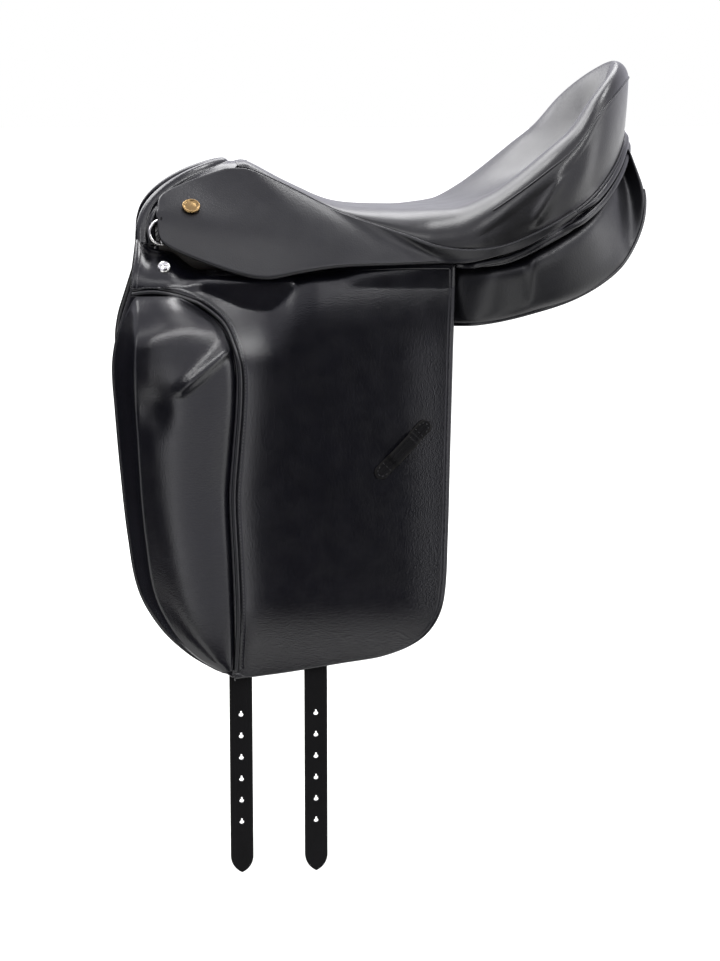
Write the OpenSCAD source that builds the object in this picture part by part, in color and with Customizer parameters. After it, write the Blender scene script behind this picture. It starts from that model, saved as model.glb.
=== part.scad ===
// Dressage saddle: black leather, deep seat, external knee blocks, long billets.
// Millimetres. +X to the cantle, +Z up, the rider's left side at -Y.
// Origin: underside of the channel lining, on the centre plane, below the seat's low point.
// Pieces are drawn on the +Y side and mirrored for the left.

/* [Seat] */
// Front end of the seat, ahead of the origin
pommel_x = 159; // [145:1:172]
// Height of the seat at the pommel
pommel_z = 87.5; // [78:0.5:100]
// Half width of the seat at the pommel
pommel_half_w = 34; // [28:1:42]
// Height of the seat's low point
seat_z = 44; // [38:1:52]
// Half width of the seat at its widest
seat_half_w = 149; // [138:1:158]
// Rear seam of the cantle, behind the origin
cantle_x = 214; // [198:1:226]
// Height of the cantle's crest
cantle_z = 181; // [160:1:200]
// Lowest height of the seam between seat and skirt
seam_low = 11; // [6:1:16]
// Height of the seam at the back of the cantle
seam_back = 115; // [105:1:125]
// Thickness of the seat leather
seat_leather = 3; // [2:0.5:4]
// Padding and leather between seat top and deck
deck_depth = 27; // [24:1:32]

/* [Tree] */
// Thickness of the laminated tree
tree_t = 9; // [7:0.5:10]
// Outer half width of the head arch
arch_half_w = 76; // [72:1:78]
// Thickness of the head arch
arch_t = 6; // [4:0.5:6]
// Rear edge of the head arch, ahead of the origin
arch_rear = 122; // [115:1:126]
// Thickness of the steel head plate
plate_t = 2.5; // [1.5:0.5:4]
// Thickness of the webs
web_t = 1.8; // [1.2:0.2:2.2]
// Width of the girth web
girth_web_w = 40; // [30:1:48]

/* [Panels] */
// Half width of the channel between the panels
channel_half_w = 29; // [24:1:34]
// Depth of the panel's rear gusset below the seam
panel_drop = 82; // [70:1:92]
// Rear end of the panels behind the cantle seam
panel_tail = 7; // [3:1:12]

/* [Flaps] */
// Height of the flap's bend line
bend_z = -24; // [-28:1:-22]
// Half width over the flaps at the bend line
bend_half_w = 118; // [116:1:126]
// Drop of the flap below the bend line
flap_drop = 351; // [320:1:380]
// Front edge of the flap ahead of the origin
flap_front = 275; // [262:1:290]
// Rear edge of the flap behind the origin
flap_back = 38; // [34:1:42]
// Sideways lean of the flap for each mm of drop
flap_lean = 0.155; // [0.12:0.005:0.19]
// Outward bow of the flap, per mm squared
flap_bow = 0.00004; // [0.00002:0.00001:0.00008]
// Room between the billets' rivets and the hollow of the flap
rivet_room = 5; // [4:0.1:6]
// Thickness of the flap leather
flap_t = 4.5; // [3.5:0.5:5]
// Thickness of the sweat flap leather
sweat_t = 4; // [3:0.5:5]
// Room between flap and sweat flap for the billets
billet_room = 14; // [13:0.5:17]

/* [Knee blocks] */
// Height of the knee block over the flap
block_h = 34; // [24:1:42]
// Radius of the block's piping
block_piping_r = 2; // [1.5:0.25:2.5]

/* [Skirts] */
// Thickness of the skirt leather
skirt_t = 4; // [3:0.5:4.5]
// Height of the skirt's bend line at the front
skirt_bend_z = 40; // [37:1:43]
// Lowest point of the skirt
skirt_low_z = -14; // [-15:0.5:-8]
// Radius of the plain skirt stud
stud_r = 8.5; // [6:0.5:10]
// Radius of the flap screw's head
screw_r = 6; // [4:0.5:7]
// Set-back of the flap's screw from its front edge
screw_set = 48; // [44:1:52]

/* [Stirrup bars] */
// Length of the bar
bar_len = 84; // [74:1:88]
// Height of the bar
bar_h = 12; // [10:0.5:13]
// Thickness of the bar
bar_t = 7; // [6:0.5:7.5]
// Slot between bar and plate for the stirrup leather
bar_slot = 8; // [6.5:0.5:8.5]
// Thickness of the bar's plate
bar_plate_t = 3; // [2:0.5:3.5]
// Radius of the catch pin
pin_r = 1.2; // [1:0.1:1.5]
// Reach of the safety catch from its pin
catch_len = 13; // [10:0.5:14]

/* [Dee rings] */
// Outer half height of the ring
dee_r = 13; // [12:0.5:13.5]
// Wire radius of the ring
dee_wire = 1.8; // [1.4:0.1:2]
// Thickness of the ring's leather chape
chape_t = 1.8; // [1.4:0.2:2]

/* [Billets] */
// Width of a billet
billet_w = 21; // [18:0.5:24]
// Thickness of a billet
billet_t = 4.2; // [3.5:0.1:4.5]
// Lower end of the billets below the origin
billet_end = 564; // [520:1:600]
// Depth of the fold in the right billets, which are put away
billet_tuck = 335; // [325:1:345]
// Front billet's pivot ahead of the origin
billet_front_x = 163; // [160:1:168]
// Rear billet's pivot ahead of the origin
billet_rear_x = 94; // [92:1:100]
// Length of a billet's pointed tip
billet_tip = 16; // [12:1:20]
// Distance between buckle holes
hole_pitch = 20.5; // [18:0.5:23]
// Radius of a buckle hole
hole_r = 2.2; // [1.8:0.1:2.5]
// Radius of the pivot rivet
rivet_r = 2.5; // [2:0.25:3]

/* [Trim] */
// Radius of the cantle welts
welt_r = 3.2; // [2.5:0.1:3.6]
// Radius of the roll along the pommel's edge
roll_r = 7; // [5.5:0.5:7.5]
// Thickness of the pommel's facing leather
facing_t = 2.5; // [2:0.5:3]

/* [Clearances] */
// Gap between seated pieces
seat_gap = 0.2; // [0.1:0.05:0.3]
// Running clearance round a pivot
run_gap = 0.3; // [0.25:0.05:0.4]
// Gap between leather layers that move
layer_gap = 0.4; // [0.3:0.05:0.5]

/* [Hidden] */
$fn = 32;
$fa = 6;
$fs = 0.5;
web_zone = 6;
arch_z = 56;
bar_z0 = 0;
bar_rear_x = -104;
bar_front_x = bar_rear_x - bar_len;
slot_v0 = arch_half_w + seat_gap + bar_plate_t;
slot_v1 = slot_v0 + bar_slot;
bar_mid_v = slot_v1 + bar_t / 2;
pivot_z = -30;
pivot_v = arch_half_w + 7 + billet_t / 2;
hollow = bend_half_w - (pivot_v + billet_t / 2 + rivet_room + flap_t);
hang_z = bend_z - flap_drop - 10;
first_hole = 48;
tuck_z = -billet_tuck;
tuck_k = 1 - 1.4 / (billet_room - billet_t);
fold_step = billet_t + 1.2;

// Smooth curve through knots [[t, value], ...]; the value is a number or a point.
function span(k, t, i = 0) = i >= len(k) - 2 || t < k[i + 1][0] ? i : span(k, t, i + 1);
function slope(k, i) = let (a = max(0, i - 1), b = min(len(k) - 1, i + 1))
  (k[b][1] - k[a][1]) / (k[b][0] - k[a][0]);
function hermite(a, b, da, db, f) = a * (2 * f ^ 3 - 3 * f ^ 2 + 1) + da * (f ^ 3 - 2 * f ^ 2 + f)
  + b * (3 * f ^ 2 - 2 * f ^ 3) + db * (f ^ 3 - f ^ 2);
function curve(k, t) = let (u = max(k[0][0], min(k[len(k) - 1][0], t)), i = span(k, u),
  h = k[i + 1][0] - k[i][0])
  hermite(k[i][1], k[i + 1][1], slope(k, i) * h, slope(k, i + 1) * h, (u - k[i][0]) / h);
function ease(a, b, t) = let (f = max(0, min(1, (t - a) / (b - a)))) f * f * (3 - 2 * f);
function unit(v) = v / max(norm(v), 1e-9);
function steps(a, b, n) = [for (i = [0 : n]) a + (b - a) * i / n];
function total(v, i = 0) = i == len(v) - 1 ? v[i] : v[i] + total(v, i + 1);
function mir(p) = [p[0], -p[1], p[2]];
function flip(f) = [for (i = [len(f) - 1 : -1 : 0]) f[i]];
function volume(p, f) = total([for (t = f) cross(p[t[0]], p[t[1]]) * p[t[2]]]);

// Closed solid from points and triangles, turned the right way out.
module solid(p, f) {
  polyhedron(points = p, faces = volume(p, f) > 0 ? [for (t = f) flip(t)] : f, convexity = 8);
}

// Surface normal of a grid of points at row i, column j.
function grid_normal(g, i, j) = let (n = len(g) - 1, m = len(g[0]) - 1,
  a = g[min(n, i + 1)][j] - g[max(0, i - 1)][j], b = g[i][min(m, j + 1)] - g[i][max(0, j - 1)])
  unit(cross(a, b));
// Grid moved by d along its normals.
function moved(g, d) = [for (i = [0 : len(g) - 1])
  [for (j = [0 : len(g[0]) - 1]) g[i][j] + d * grid_normal(g, i, j)]];

// Solid between two grids of the same size.
module between(a, b) {
  n = len(a);
  m = len(a[0]);
  k = n * m;
  p = concat([for (r = a) each r], [for (r = b) each r]);
  quads = concat(
    [for (i = [0 : n - 2], j = [0 : m - 2]) [i * m + j, i * m + j + 1, i * m + m + j + 1,
      i * m + m + j]],
    [for (i = [0 : n - 2], j = [0 : m - 2])
      [k + i * m + j, k + i * m + m + j, k + i * m + m + j + 1, k + i * m + j + 1]],
    [for (j = [0 : m - 2]) [j, k + j, k + j + 1, j + 1]],
    [for (j = [0 : m - 2]) let (q = (n - 1) * m) [q + j + 1, k + q + j + 1, k + q + j, q + j]],
    [for (i = [0 : n - 2]) [i * m + m, k + i * m + m, k + i * m, i * m]],
    [for (i = [0 : n - 2]) let (q = m - 1) [i * m + q, k + i * m + q, k + i * m + m + q,
      i * m + m + q]]);
  solid(p, [for (q = quads) each [[q[0], q[1], q[2]], [q[0], q[2], q[3]]]]);
}

// Solid through closed rings of points, with flat ends.
module loft(rings) {
  n = len(rings);
  m = len(rings[0]);
  ends = [total(rings[0]) / m, total(rings[n - 1]) / m];
  p = concat([for (r = rings) each r], ends);
  f = concat(
    [for (i = [0 : n - 2], j = [0 : m - 1]) let (a = i * m + j, b = i * m + (j + 1) % m)
      each [[a, b, b + m], [a, b + m, a + m]]],
    [for (j = [0 : m - 1]) [(j + 1) % m, j, n * m]],
    [for (j = [0 : m - 1]) let (q = (n - 1) * m) [q + j, q + (j + 1) % m, n * m + 1]]);
  solid(p, f);
}

// Round cord of radius r along a path of points.
module cord(path, r, m = 8) {
  n = len(path) - 1;
  loft([for (i = [0 : n])
    let (t = unit(path[min(n, i + 1)] - path[max(0, i - 1)]), u = unit(cross(t, [0.31, 0.17, 0.93])),
      w = cross(t, u)) [for (j = [0 : m - 1]) path[i] + r * (cos(360 * j / m) * u + sin(360 * j / m) * w)]]);
}

// Seat: cross lines s from pommel (0) to the back of the cantle (1), each from spine (a = 0) to seam (a = 1).
front_rise = pommel_z - 6.5 - seam_low;
back_rise = seam_back - seam_low;
SEAM = [[0, [-0.987 * pommel_x, pommel_half_w, seam_low + 1.03 * front_rise]],
  [0.08, [-0.912 * pommel_x, pommel_half_w + 5, seam_low + front_rise]],
  [0.18, [-0.679 * pommel_x, 0.356 * seat_half_w, seam_low + 0.757 * front_rise]],
  [0.30, [-0.409 * pommel_x, 0.483 * seat_half_w, seam_low + 0.457 * front_rise]],
  [0.42, [-0.069 * pommel_x, 0.671 * seat_half_w, seam_low + 0.186 * front_rise]],
  [0.50, [0.065 * cantle_x, 0.772 * seat_half_w, seam_low + 0.043 * front_rise]],
  [0.57, [0.182 * cantle_x, 0.872 * seat_half_w, seam_low]],
  [0.64, [0.294 * cantle_x, 0.953 * seat_half_w, seam_low + 0.012 * back_rise]],
  [0.71, [0.411 * cantle_x, seat_half_w, seam_low + 0.067 * back_rise]],
  [0.78, [0.575 * cantle_x, seat_half_w, seam_low + 0.231 * back_rise]],
  [0.84, [0.687 * cantle_x, 0.946 * seat_half_w, seam_low + 0.356 * back_rise]],
  [0.90, [0.795 * cantle_x, 0.815 * seat_half_w, seam_low + 0.520 * back_rise]],
  [0.95, [0.895 * cantle_x, 0.580 * seat_half_w, seam_low + 0.725 * back_rise]],
  [0.98, [0.968 * cantle_x, 0.290 * seat_half_w, seam_low + 0.910 * back_rise]],
  [1.00, [cantle_x, 0, seam_back]], [1.02, [0.968 * cantle_x, -0.290 * seat_half_w,
    seam_low + 0.910 * back_rise]]];
spine_rise = 0.57 * (cantle_z - seat_z);
SPINE = [[0, [-pommel_x, 0, pommel_z]], [0.08, [-0.925 * pommel_x, 0, pommel_z - 1]],
  [0.18, [-0.667 * pommel_x, 0, seat_z + 0.506 * (pommel_z - seat_z)]],
  [0.30, [-0.390 * pommel_x, 0, seat_z + 0.092 * (pommel_z - seat_z)]],
  [0.42, [-0.063 * pommel_x, 0, seat_z]], [0.50, [0.103 * cantle_x, 0, seat_z + 0.006 * spine_rise]],
  [0.57, [0.234 * cantle_x, 0, seat_z + 0.038 * spine_rise]],
  [0.64, [0.364 * cantle_x, 0, seat_z + 0.115 * spine_rise]],
  [0.71, [0.477 * cantle_x, 0, seat_z + 0.230 * spine_rise]],
  [0.78, [0.579 * cantle_x, 0, seat_z + 0.370 * spine_rise]],
  [0.84, [0.664 * cantle_x, 0, seat_z + 0.526 * spine_rise]],
  [0.90, [0.738 * cantle_x, 0, seat_z + 0.690 * spine_rise]],
  [0.95, [0.794 * cantle_x, 0, seat_z + 0.846 * spine_rise]],
  [1.00, [0.841 * cantle_x, 0, seat_z + spine_rise]]];
RIM = [[0, 0], [0.42, 0], [0.50, 0.004], [0.57, 0.030], [0.64, 0.125], [0.71, 0.255], [0.78, 0.445],
  [0.84, 0.580], [0.90, 0.772], [0.95, 0.930], [0.98, 1.012], [1.00, 1.040], [1.02, 1.012]];
SQUARE = [[0, 3.2], [0.42, 3], [0.57, 4.5], [0.71, 6.5], [1, 7]];
// Cross lines, closer together round the cantle.
function rows(a, n, m) = concat(steps(a, 0.78, n), [for (i = [1 : m]) 0.78 + 0.22 * (1 - pow(1 - i / m,
  1.7))]);
function seam(s) = curve(SEAM, s);
function spine(s) = curve(SPINE, s);
function rim_z(s) = s <= 0.42 ? spine(s)[2] : max(spine(s)[2], seat_z + curve(RIM,
  s) * (cantle_z - seat_z));
// Across the seat: a squared ellipse from the rim's height down to the seam, less a dish in the middle.
function seat_point(s, phi, inset = 0) = let (p = spine(s), q = seam(s), e = curve(SQUARE, s),
  c = pow(max(0, sin(phi)), 2 / e), h = pow(max(0, cos(phi)), 2 / e),
  d = pow(1 - pow(min(1, c / 0.9), 2.6), 1.6), plan = unit([q[0] - p[0], q[1]]) * inset,
  top = rim_z(s) - inset)
  [p[0] + c * (q[0] - p[0]) - pow(c, 12) * plan[0], c * q[1] - pow(c, 12) * plan[1],
   q[2] + h * (top - q[2]) - d * (rim_z(s) - p[2])];
// Deck under the padding, in the same cross lines.
EDGE = [[0, 16], [0.30, 14], [0.42, 7], [0.57, 1], [1, 1]];
function deck(s, a, drop = 0) = let (p = spine(s), q = seam(s))
  [p[0] + a * (q[0] - p[0]), a * q[1],
   (p[2] - deck_depth) * (1 - a * a) + (q[2] - curve(EDGE, s)) * a * a - drop];
// Grid over both sides, joined at the back of the cantle.
function both(row) = concat(row, [for (i = [len(row) - 2 : -1 : 0]) [for (q = row[i]) mir(q)]]);

module across(top, bottom) {
  // The rows run round the cantle, the columns from spine to seam; the spine points of both sides are shared.
  n = len(top);
  m = len(top[0]);
  k = n * m;
  p = concat([for (r = top) each r], [for (r = bottom) each r]);
  function at(i, j) = j == 0 ? min(i, n - 1 - i) * m : i * m + j;
  quads = concat(
    [for (i = [0 : n - 2], j = [0 : m - 2]) [at(i, j), at(i, j + 1), at(i + 1, j + 1), at(i + 1, j)]],
    [for (i = [0 : n - 2], j = [0 : m - 2])
      [k + at(i, j), k + at(i + 1, j), k + at(i + 1, j + 1), k + at(i, j + 1)]],
    [for (j = [0 : m - 2]) [at(0, j), k + at(0, j), k + at(0, j + 1), at(0, j + 1)]],
    [for (j = [0 : m - 2])
      [at(n - 1, j + 1), k + at(n - 1, j + 1), k + at(n - 1, j), at(n - 1, j)]],
    [for (i = [0 : n - 2]) let (q = m - 1)
      [at(i, q), k + at(i, q), k + at(i + 1, q), at(i + 1, q)]]);
  used = [for (q = quads) each [[q[0], q[1], q[2]], [q[0], q[2], q[3]]]];
  solid(p, [for (t = used) if (t[0] != t[1] && t[1] != t[2] && t[0] != t[2]) t]);
}

module seat_cover() {
  s = rows(0, 14, 10);
  f = [0, 14, 28, 40, 50, 58, 65, 72, 79, 85, 90];
  color([0.06, 0.06, 0.07]) across(both([for (u = s) [for (a = f) seat_point(u, a)]]),
    both([for (u = s) [for (a = f) seat_point(u, a, seat_leather)]]));
}

module seat_foam() {
  s = rows(0, 14, 10);
  f = [0, 14, 28, 40, 50, 58, 65, 72, 79];
  inset = seat_leather + layer_gap;
  function edge(u, a) = let (q = seat_point(u, a, inset))
    norm([q[0] - spine(u)[0], q[1]]) / norm([seam(u)[0] - spine(u)[0], seam(u)[1]]);
  color([0.85, 0.8, 0.6]) across(both([for (u = s) [for (a = f) seat_point(u, a, inset)]]),
    both([for (u = s) [for (a = f) deck(u, edge(u, a))]]));
}

// Tree: a ring of laminated wood round the seat, and the arch of the head.
RAIL_IN = [[0.05, 0.10], [0.16, 0.42], [0.30, 0.52], [0.71, 0.56], [0.90, 0.50], [1, 0.36]];
RAIL_OUT = [[0.05, 0.80], [0.30, 0.86], [0.71, 0.86], [1, 0.90]];
ARCH = [[arch_half_w, -14], [arch_half_w, 26], [arch_half_w - 8, 40], [arch_half_w - 22, 51], [36,
  arch_z - 2], [0, arch_z]];
ARCH_IN = [[arch_half_w - arch_t, -14], [arch_half_w - arch_t, 24], [arch_half_w - 8 - 0.83 * arch_t,
  39 - 0.6 * arch_t],
  [arch_half_w - 22 - 0.6 * arch_t, 51 - 0.85 * arch_t], [34, arch_z - 2 - arch_t], [0,
    arch_z - arch_t]];
function shifted(p, d) = [for (q = p) [q[0] - d * ease(30, 60, q[0]), q[1] - d * (1 - 0.4 * ease(30,
  60, q[0]))]];
function flat_loop(a, b) = concat(a, [for (i = [len(a) - 2 : -1 : 0]) [-a[i][0], a[i][1]]],
  [for (q = b) [-q[0], q[1]]], [for (i = [len(b) - 2 : -1 : 0]) b[i]]);
// Outline in Y and Z, drawn out along X.
module along_x(x0, x1) {
  translate([x0, 0, 0]) rotate([90, 0, 90]) linear_extrude(x1 - x0) children();
}
module cut_back(back) {
  translate([0, 0, -60]) linear_extrude(160)
    polygon([[back - 5, 0], [back - 6.5, 7], [back - 16, 18], [back - 39, 36], [back - 60, 48],
      [back - 71, 60], [back - 71, 120],
      [back - 200, 120], [back - 200, -120], [back - 71, -120], [back - 71, -60], [back - 60, -48],
      [back - 39, -36], [back - 16, -18], [back - 6.5, -7]]);
}

module tree() {
  s = rows(0.085, 10, 8);
  a = [0, 0.33, 0.67, 1];
  function line(u, d) = [for (f = a) deck(u, curve(RAIL_IN, u) + f * (curve(RAIL_OUT,
    u) - curve(RAIL_IN, u)), d)];
  color([0.62, 0.45, 0.26]) {
    between(both([for (u = s) line(u, web_zone)]), both([for (u = s) line(u, web_zone + tree_t)]));
    difference() {
      along_x(-pommel_x - 74, -arch_rear) polygon(flat_loop(ARCH, ARCH_IN));
      cut_back(-pommel_x - 1.8);
      translate([-pommel_x + 18, -arch_half_w + 24, 30]) cube([60, 2 * arch_half_w - 48, 60]);
    }
  }
}

module head_plate() {
  inner = shifted(concat([[ARCH_IN[0][0], 0]], [for (i = [1 : 5]) ARCH_IN[i]]), seat_gap);
  color([0.5, 0.51, 0.53]) difference() {
    along_x(-pommel_x - 46, -pommel_x + 11) polygon(flat_loop(inner, shifted(inner, plate_t)));
    cut_back(-pommel_x + 3);
  }
}

module strainer_web() {
  s = steps(0.115, 0.94, 12);
  function line(u, d) = [for (v = [-26, -9, 9, 26]) let (a = abs(v) / seam(u)[1], q = deck(u, min(a,
    0.9), d)) [q[0], v, q[2]]];
  color([0.78, 0.74, 0.66]) between([for (u = s) line(u, web_zone - web_t - seat_gap)],
    [for (u = s) line(u, web_zone - seat_gap)]);
}

// Girth web: over the tree behind the arch, and down to the rear billets on both sides.
module girth_web() {
  c = pivot_v - billet_t / 2 - seat_gap;
  lines = [[0.190, -0.5], [0.2225, 0], [0.255, 0.35]];
  function half(s, o, d) = let (q = seam(s), x = -billet_rear_x + o * girth_web_w) concat(
    [for (a = [0, 0.3, 0.6]) deck(s, a, 1 + d)],
    [[(q[0] + x) / 2, 0.93 * q[1] + 1.8 - 0.5 * d, deck(s, 0.93, 2.4)[2] - 0.8 * d], [x,
      c - 10 - 0.85 * d, 20 - 0.5 * d],
     [x, c - d, -6], [x, c - d, pivot_z - 12]]);
  function line(s, o, d) = let (h = half(s, o, d)) concat([for (i = [6 : -1 : 1]) mir(h[i])], h);
  color([0.82, 0.79, 0.72]) between([for (k = lines) line(k[0], k[1], 0)], [for (k = lines) line(k[0],
    k[1], web_t)]);
}

module channel_lining() {
  s = steps(0.16, 0.93, 14);
  reach = 3;
  function line(u, d) = let (w = curve(RAIL_IN, u) * seam(u)[1] + reach)
    [for (f = [-1, -0.5, 0, 0.5, 1]) let (q = deck(u, abs(f) * w / seam(u)[1], d)) [q[0], f * w, q[2]]];
  drop = web_zone + tree_t + seat_gap + 0.5;
  color([0.07, 0.07, 0.07]) between([for (u = s) line(u, drop)], [for (u = s) line(u, drop + 1.8)]);
}

// Welts under the seat's rear seam.
function welt_path(down, out, s0) = let (half = [for (u = rows(0.60, 6, 14))
  let (q = seam(u), e = seam(u + 0.004) - seam(u - 0.004), n = unit([-e[1], e[0]]) * -1,
    o = -welt_r - 0.6 + (out + welt_r + 0.6) * ease(s0, s0 + 0.05, u))
  [q[0] + o * n[0] * -1, q[1] + o * n[1] * -1, q[2] - down]])
  concat(half, [for (i = [len(half) - 2 : -1 : 0]) mir(half[i])]);
module cantle_welt_upper() {
  color([0.05, 0.05, 0.06]) cord(welt_path(welt_r + 1.4 + seat_gap, 1.5, 0.84), welt_r);
}
module cantle_welt_lower() {
  color([0.05, 0.05, 0.06]) cord(welt_path(3 * welt_r + 2.5, 3.5, 0.80), welt_r);
}

// Pommel: roll along the edge from side to side, and the facing behind it.
POMMEL = [[-0.16, [-pommel_x - 24, -18, pommel_z - 7]], [0, [-pommel_x - 12, 0, pommel_z - 4]], [0.16,
  [-pommel_x - 24, 18, pommel_z - 7]], [0.36, [-pommel_x - 47, 36, pommel_z - 16]],
  [0.54, [-pommel_x - 68, 48, pommel_z - 29]], [0.68, [-pommel_x - 81, 58, pommel_z - 43]], [0.82,
    [-pommel_x - 87, 68, pommel_z - 59]],
  [0.94, [-pommel_x - 88, 77, pommel_z - 77]], [1, [-pommel_x - 88, 82, pommel_z - 86]]];
FACING = [[-0.2, [-pommel_x - 20, -15, arch_z - 8]], [0, [-pommel_x - 9, 0, arch_z - 7]], [0.2,
  [-pommel_x - 20, 15, arch_z - 8]], [0.42, [-pommel_x - 42, 28, arch_z - 14]],
  [0.62, [-pommel_x - 64, 39, arch_z - 26]], [0.82, [-pommel_x - 79, 48, arch_z - 40]], [1,
    [-pommel_x - 84, 58, arch_z - 58]]];
module pommel_roll() {
  half = [for (t = steps(0.87, 0, 16)) curve(POMMEL, t)];
  color([0.06, 0.06, 0.07]) cord(concat(half, [for (i = [15 : -1 : 0]) mir(half[i])]), roll_r, 10);
}
module pommel_facing() {
  function line(t) = let (p = curve(POMMEL, t), q = curve(FACING, t), d = unit(q - p)) [for (f = [0,
    0.5, 1]) p + d * (roll_r + 0.6 + f * (norm(q - p) - roll_r))];
  half = [for (t = steps(0.86, 0, 12)) line(t)];
  g = concat(half, [for (i = [11 : -1 : 0]) [for (q = half[i]) mir(q)]]);
  color([0.06, 0.06, 0.07]) between(moved(g, facing_t / 2), moved(g, -facing_t / 2));
}

// Panel: rounded four-cornered sections along X, drawn in to a blunt tail.
tail_x = cantle_x + panel_tail;
CORNER_A = [[-236, [46, 30]], [-200, [38, 36]], [-150, [channel_half_w + 4, 30]], [-100,
  [channel_half_w, 14]], [-50, [channel_half_w, 0]],
  [0, [channel_half_w, -4]], [50, [channel_half_w, -2]], [100, [channel_half_w + 1, 8]], [150,
    [channel_half_w + 3, 36]],
  [190, [channel_half_w + 3, 65]], [tail_x, [channel_half_w + 3, 99]]];
CORNER_B = [[-236, [56, 24]], [-200, [54, 26]], [-150, [50, 20]], [-100, [56, 10]], [-50, [68, 2]]];
CORNER_C = [[-236, [86, -66]], [-200, [88, -72]], [-100, [88, -74]], [-20, [92, -72]], [30, [100,
  -68]], [60, [124, -64]], [100, [136, -54]],
  [150, [133, -38]], [190, [122, -12]], [tail_x, [106, 24]]];
CORNER_D = [[-236, [66, -52]], [-200, [58, -36]], [-150, [46, -20]], [-100, [38, -22]], [-50, [34,
  -30]], [0, [32, -38]], [50, [32, -42]],
  [100, [34, -36]], [150, [38, -12]], [190, [42, 18]], [tail_x, [44, 48]]];
function corner_b(x) = let (w = [[-50, [68, 2]], [-20, [0.60 * seat_half_w, -2]], [20,
  [0.66 * seat_half_w, -6]],
  [45, [0.77 * seat_half_w, -6]], [70, [0.93 * seat_half_w, -2]], [100, [0.98 * seat_half_w, 8]], [130,
    [0.97 * seat_half_w, 24]],
  [160, [0.90 * seat_half_w, 43]], [190, [0.78 * seat_half_w, 64.5]], [tail_x, [0.58 * seat_half_w, 101]]])
  x < -50 ? curve(CORNER_B, x) : curve(w, x);
// Where the panel's tail starts to round off towards its end
tail_turn = tail_x - 49;
function panel_ring(x, m) = let (k = x < 0 ? pow(1 - pow(min(1, max(0, (-206 - x) / 34)), 2.4), 1 / 2.4)
    : pow(1 - pow(min(1, max(0, (x - tail_turn) / (tail_x - tail_turn))), 3.6), 1 / 3.6),
  a = curve(CORNER_A, x), b = corner_b(x), drop = [0, (82 - panel_drop) * ease(30, 90, x)],
    c = curve(CORNER_C, x) + drop,
  d = curve(CORNER_D, x) + drop, mid = (a + b + c + d) / 4,
  o = mid + 0.7 * ease(140, 205, x) * ((a + b) / 2 - mid))
  [for (j = [0 : m - 1]) let (t = 360 * j / m, e = 0.48, u = sign(cos(t)) * pow(abs(cos(t)), e),
    w = sign(sin(t)) * pow(abs(sin(t)), e),
    q = ((1 - u) * (1 + w) * a + (1 + u) * (1 + w) * b + (1 + u) * (1 - w) * c + (1 - u) * (1 - w) * d) / 4,
    r = o + max(0.06, k) * (q - o)) [x, r[0], r[1]]];
module panel_side() {
  front = [for (t = [0, 12, 26, 42, 60, 78]) -206 - 30 * cos(t)];
  back = [for (t = [8, 26, 42, 56, 68, 78, 86, 90]) tail_turn + (tail_x - tail_turn) * sin(t)];
  color([0.07, 0.07, 0.08]) loft([for (x = concat(front, steps(-190, 170, 20), back)) panel_ring(x,
    22)]);
}

// Flap: an outward leaning sheet, with a hollow under the skirt for the stirrup leather.
function hollow_x(x) = ease(-228, -196, x) * (1 - ease(-96, -48, x));
function flap_v(x, z) = bend_half_w + flap_lean * (bend_z - z) - flap_bow * pow(x + 110, 2)
  - hollow * hollow_x(x) * (1 - ease(0, 72, bend_z - z));
FRONT_EDGE = [[0, -0.935], [0.06, -0.960], [0.134, -0.989], [0.202, -1], [0.305, -0.993], [0.4615,
  -0.978], [0.6325, -0.956],
  [0.769, -0.924], [0.866, -0.855], [0.9345, -0.767], [0.977, -0.680], [1, -0.611]];
REAR_EDGE = [[0, 0], [0.091, -2], [0.231, -4], [0.439, -7], [0.647, -10], [0.803, -14], [0.872, -23],
  [0.920, -41], [0.954, -73],
  [0.969, -110], [0.989, -159], [1, -198]];
function flap_x0(w) = flap_front * curve(FRONT_EDGE, w);
function flap_x1(w) = flap_back + curve(REAR_EDGE, w);
function flap_zed(w) = bend_z - flap_drop * w;
FLAP_W = [0.0011, 0.025, 0.05, 0.08, 0.11, 0.145, 0.18, 0.22, 0.28, 0.36, 0.48, 0.60, 0.71, 0.80, 0.87,
  0.92, 0.955, 0.98, 1];
ACROSS = [0, 0.06, 0.10, 0.13, 0.16, 0.19, 0.22, 0.26, 0.32, 0.38, 0.46, 0.54, 0.62, 0.70, 0.80, 0.90,
  1];
function flap_grid(d) = [for (w = FLAP_W) [for (f = ACROSS)
  let (x = flap_x0(w) + f * (flap_x1(w) - flap_x0(w)), z = flap_zed(w)) [x, flap_v(x, z) - d, z]]];
module flap_side() {
  color([0.05, 0.05, 0.06]) between(flap_grid(0), flap_grid(flap_t));
}
// Fixed upper part of the flap: from the bend line in to the tree, cut down round the stirrup bar.
ROOT_TOP = [[0.935, [80, 11]], [0.85, [arch_half_w + flap_t + 0.3, 9]], [0.80,
  [arch_half_w + flap_t + 0.3, 6]], [0.76, [arch_half_w + flap_t + 1, -2]], [0.72, [88, -8]], [0.37,
  [90, -8]], [0.27, [98, -8]],
  [0.18, [106, -6]], [0, [110, -4]], [-0.14, [114, -4]]];
module flap_root_side() {
  rows = steps(0, 1, 4);
  x = [for (f = steps(0, 1, 16)) flap_x0(0) + f * (flap_x1(0) - flap_x0(0))];
  edge = [for (k = ROOT_TOP) [-k[0] * flap_front, k[1]]];
  function grid(d) = [for (r = rows) [for (u = x) let (q = curve(edge, u), b = flap_v(u, bend_z),
    z = q[1] + r * (bend_z + layer_gap - q[1]),
    v = q[0] + (b - q[0]) * (0.35 * r + 0.65 * sin(90 * r))) [u, v - d, z]]];
  color([0.05, 0.05, 0.06]) between(grid(0), grid(flap_t));
}
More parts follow.
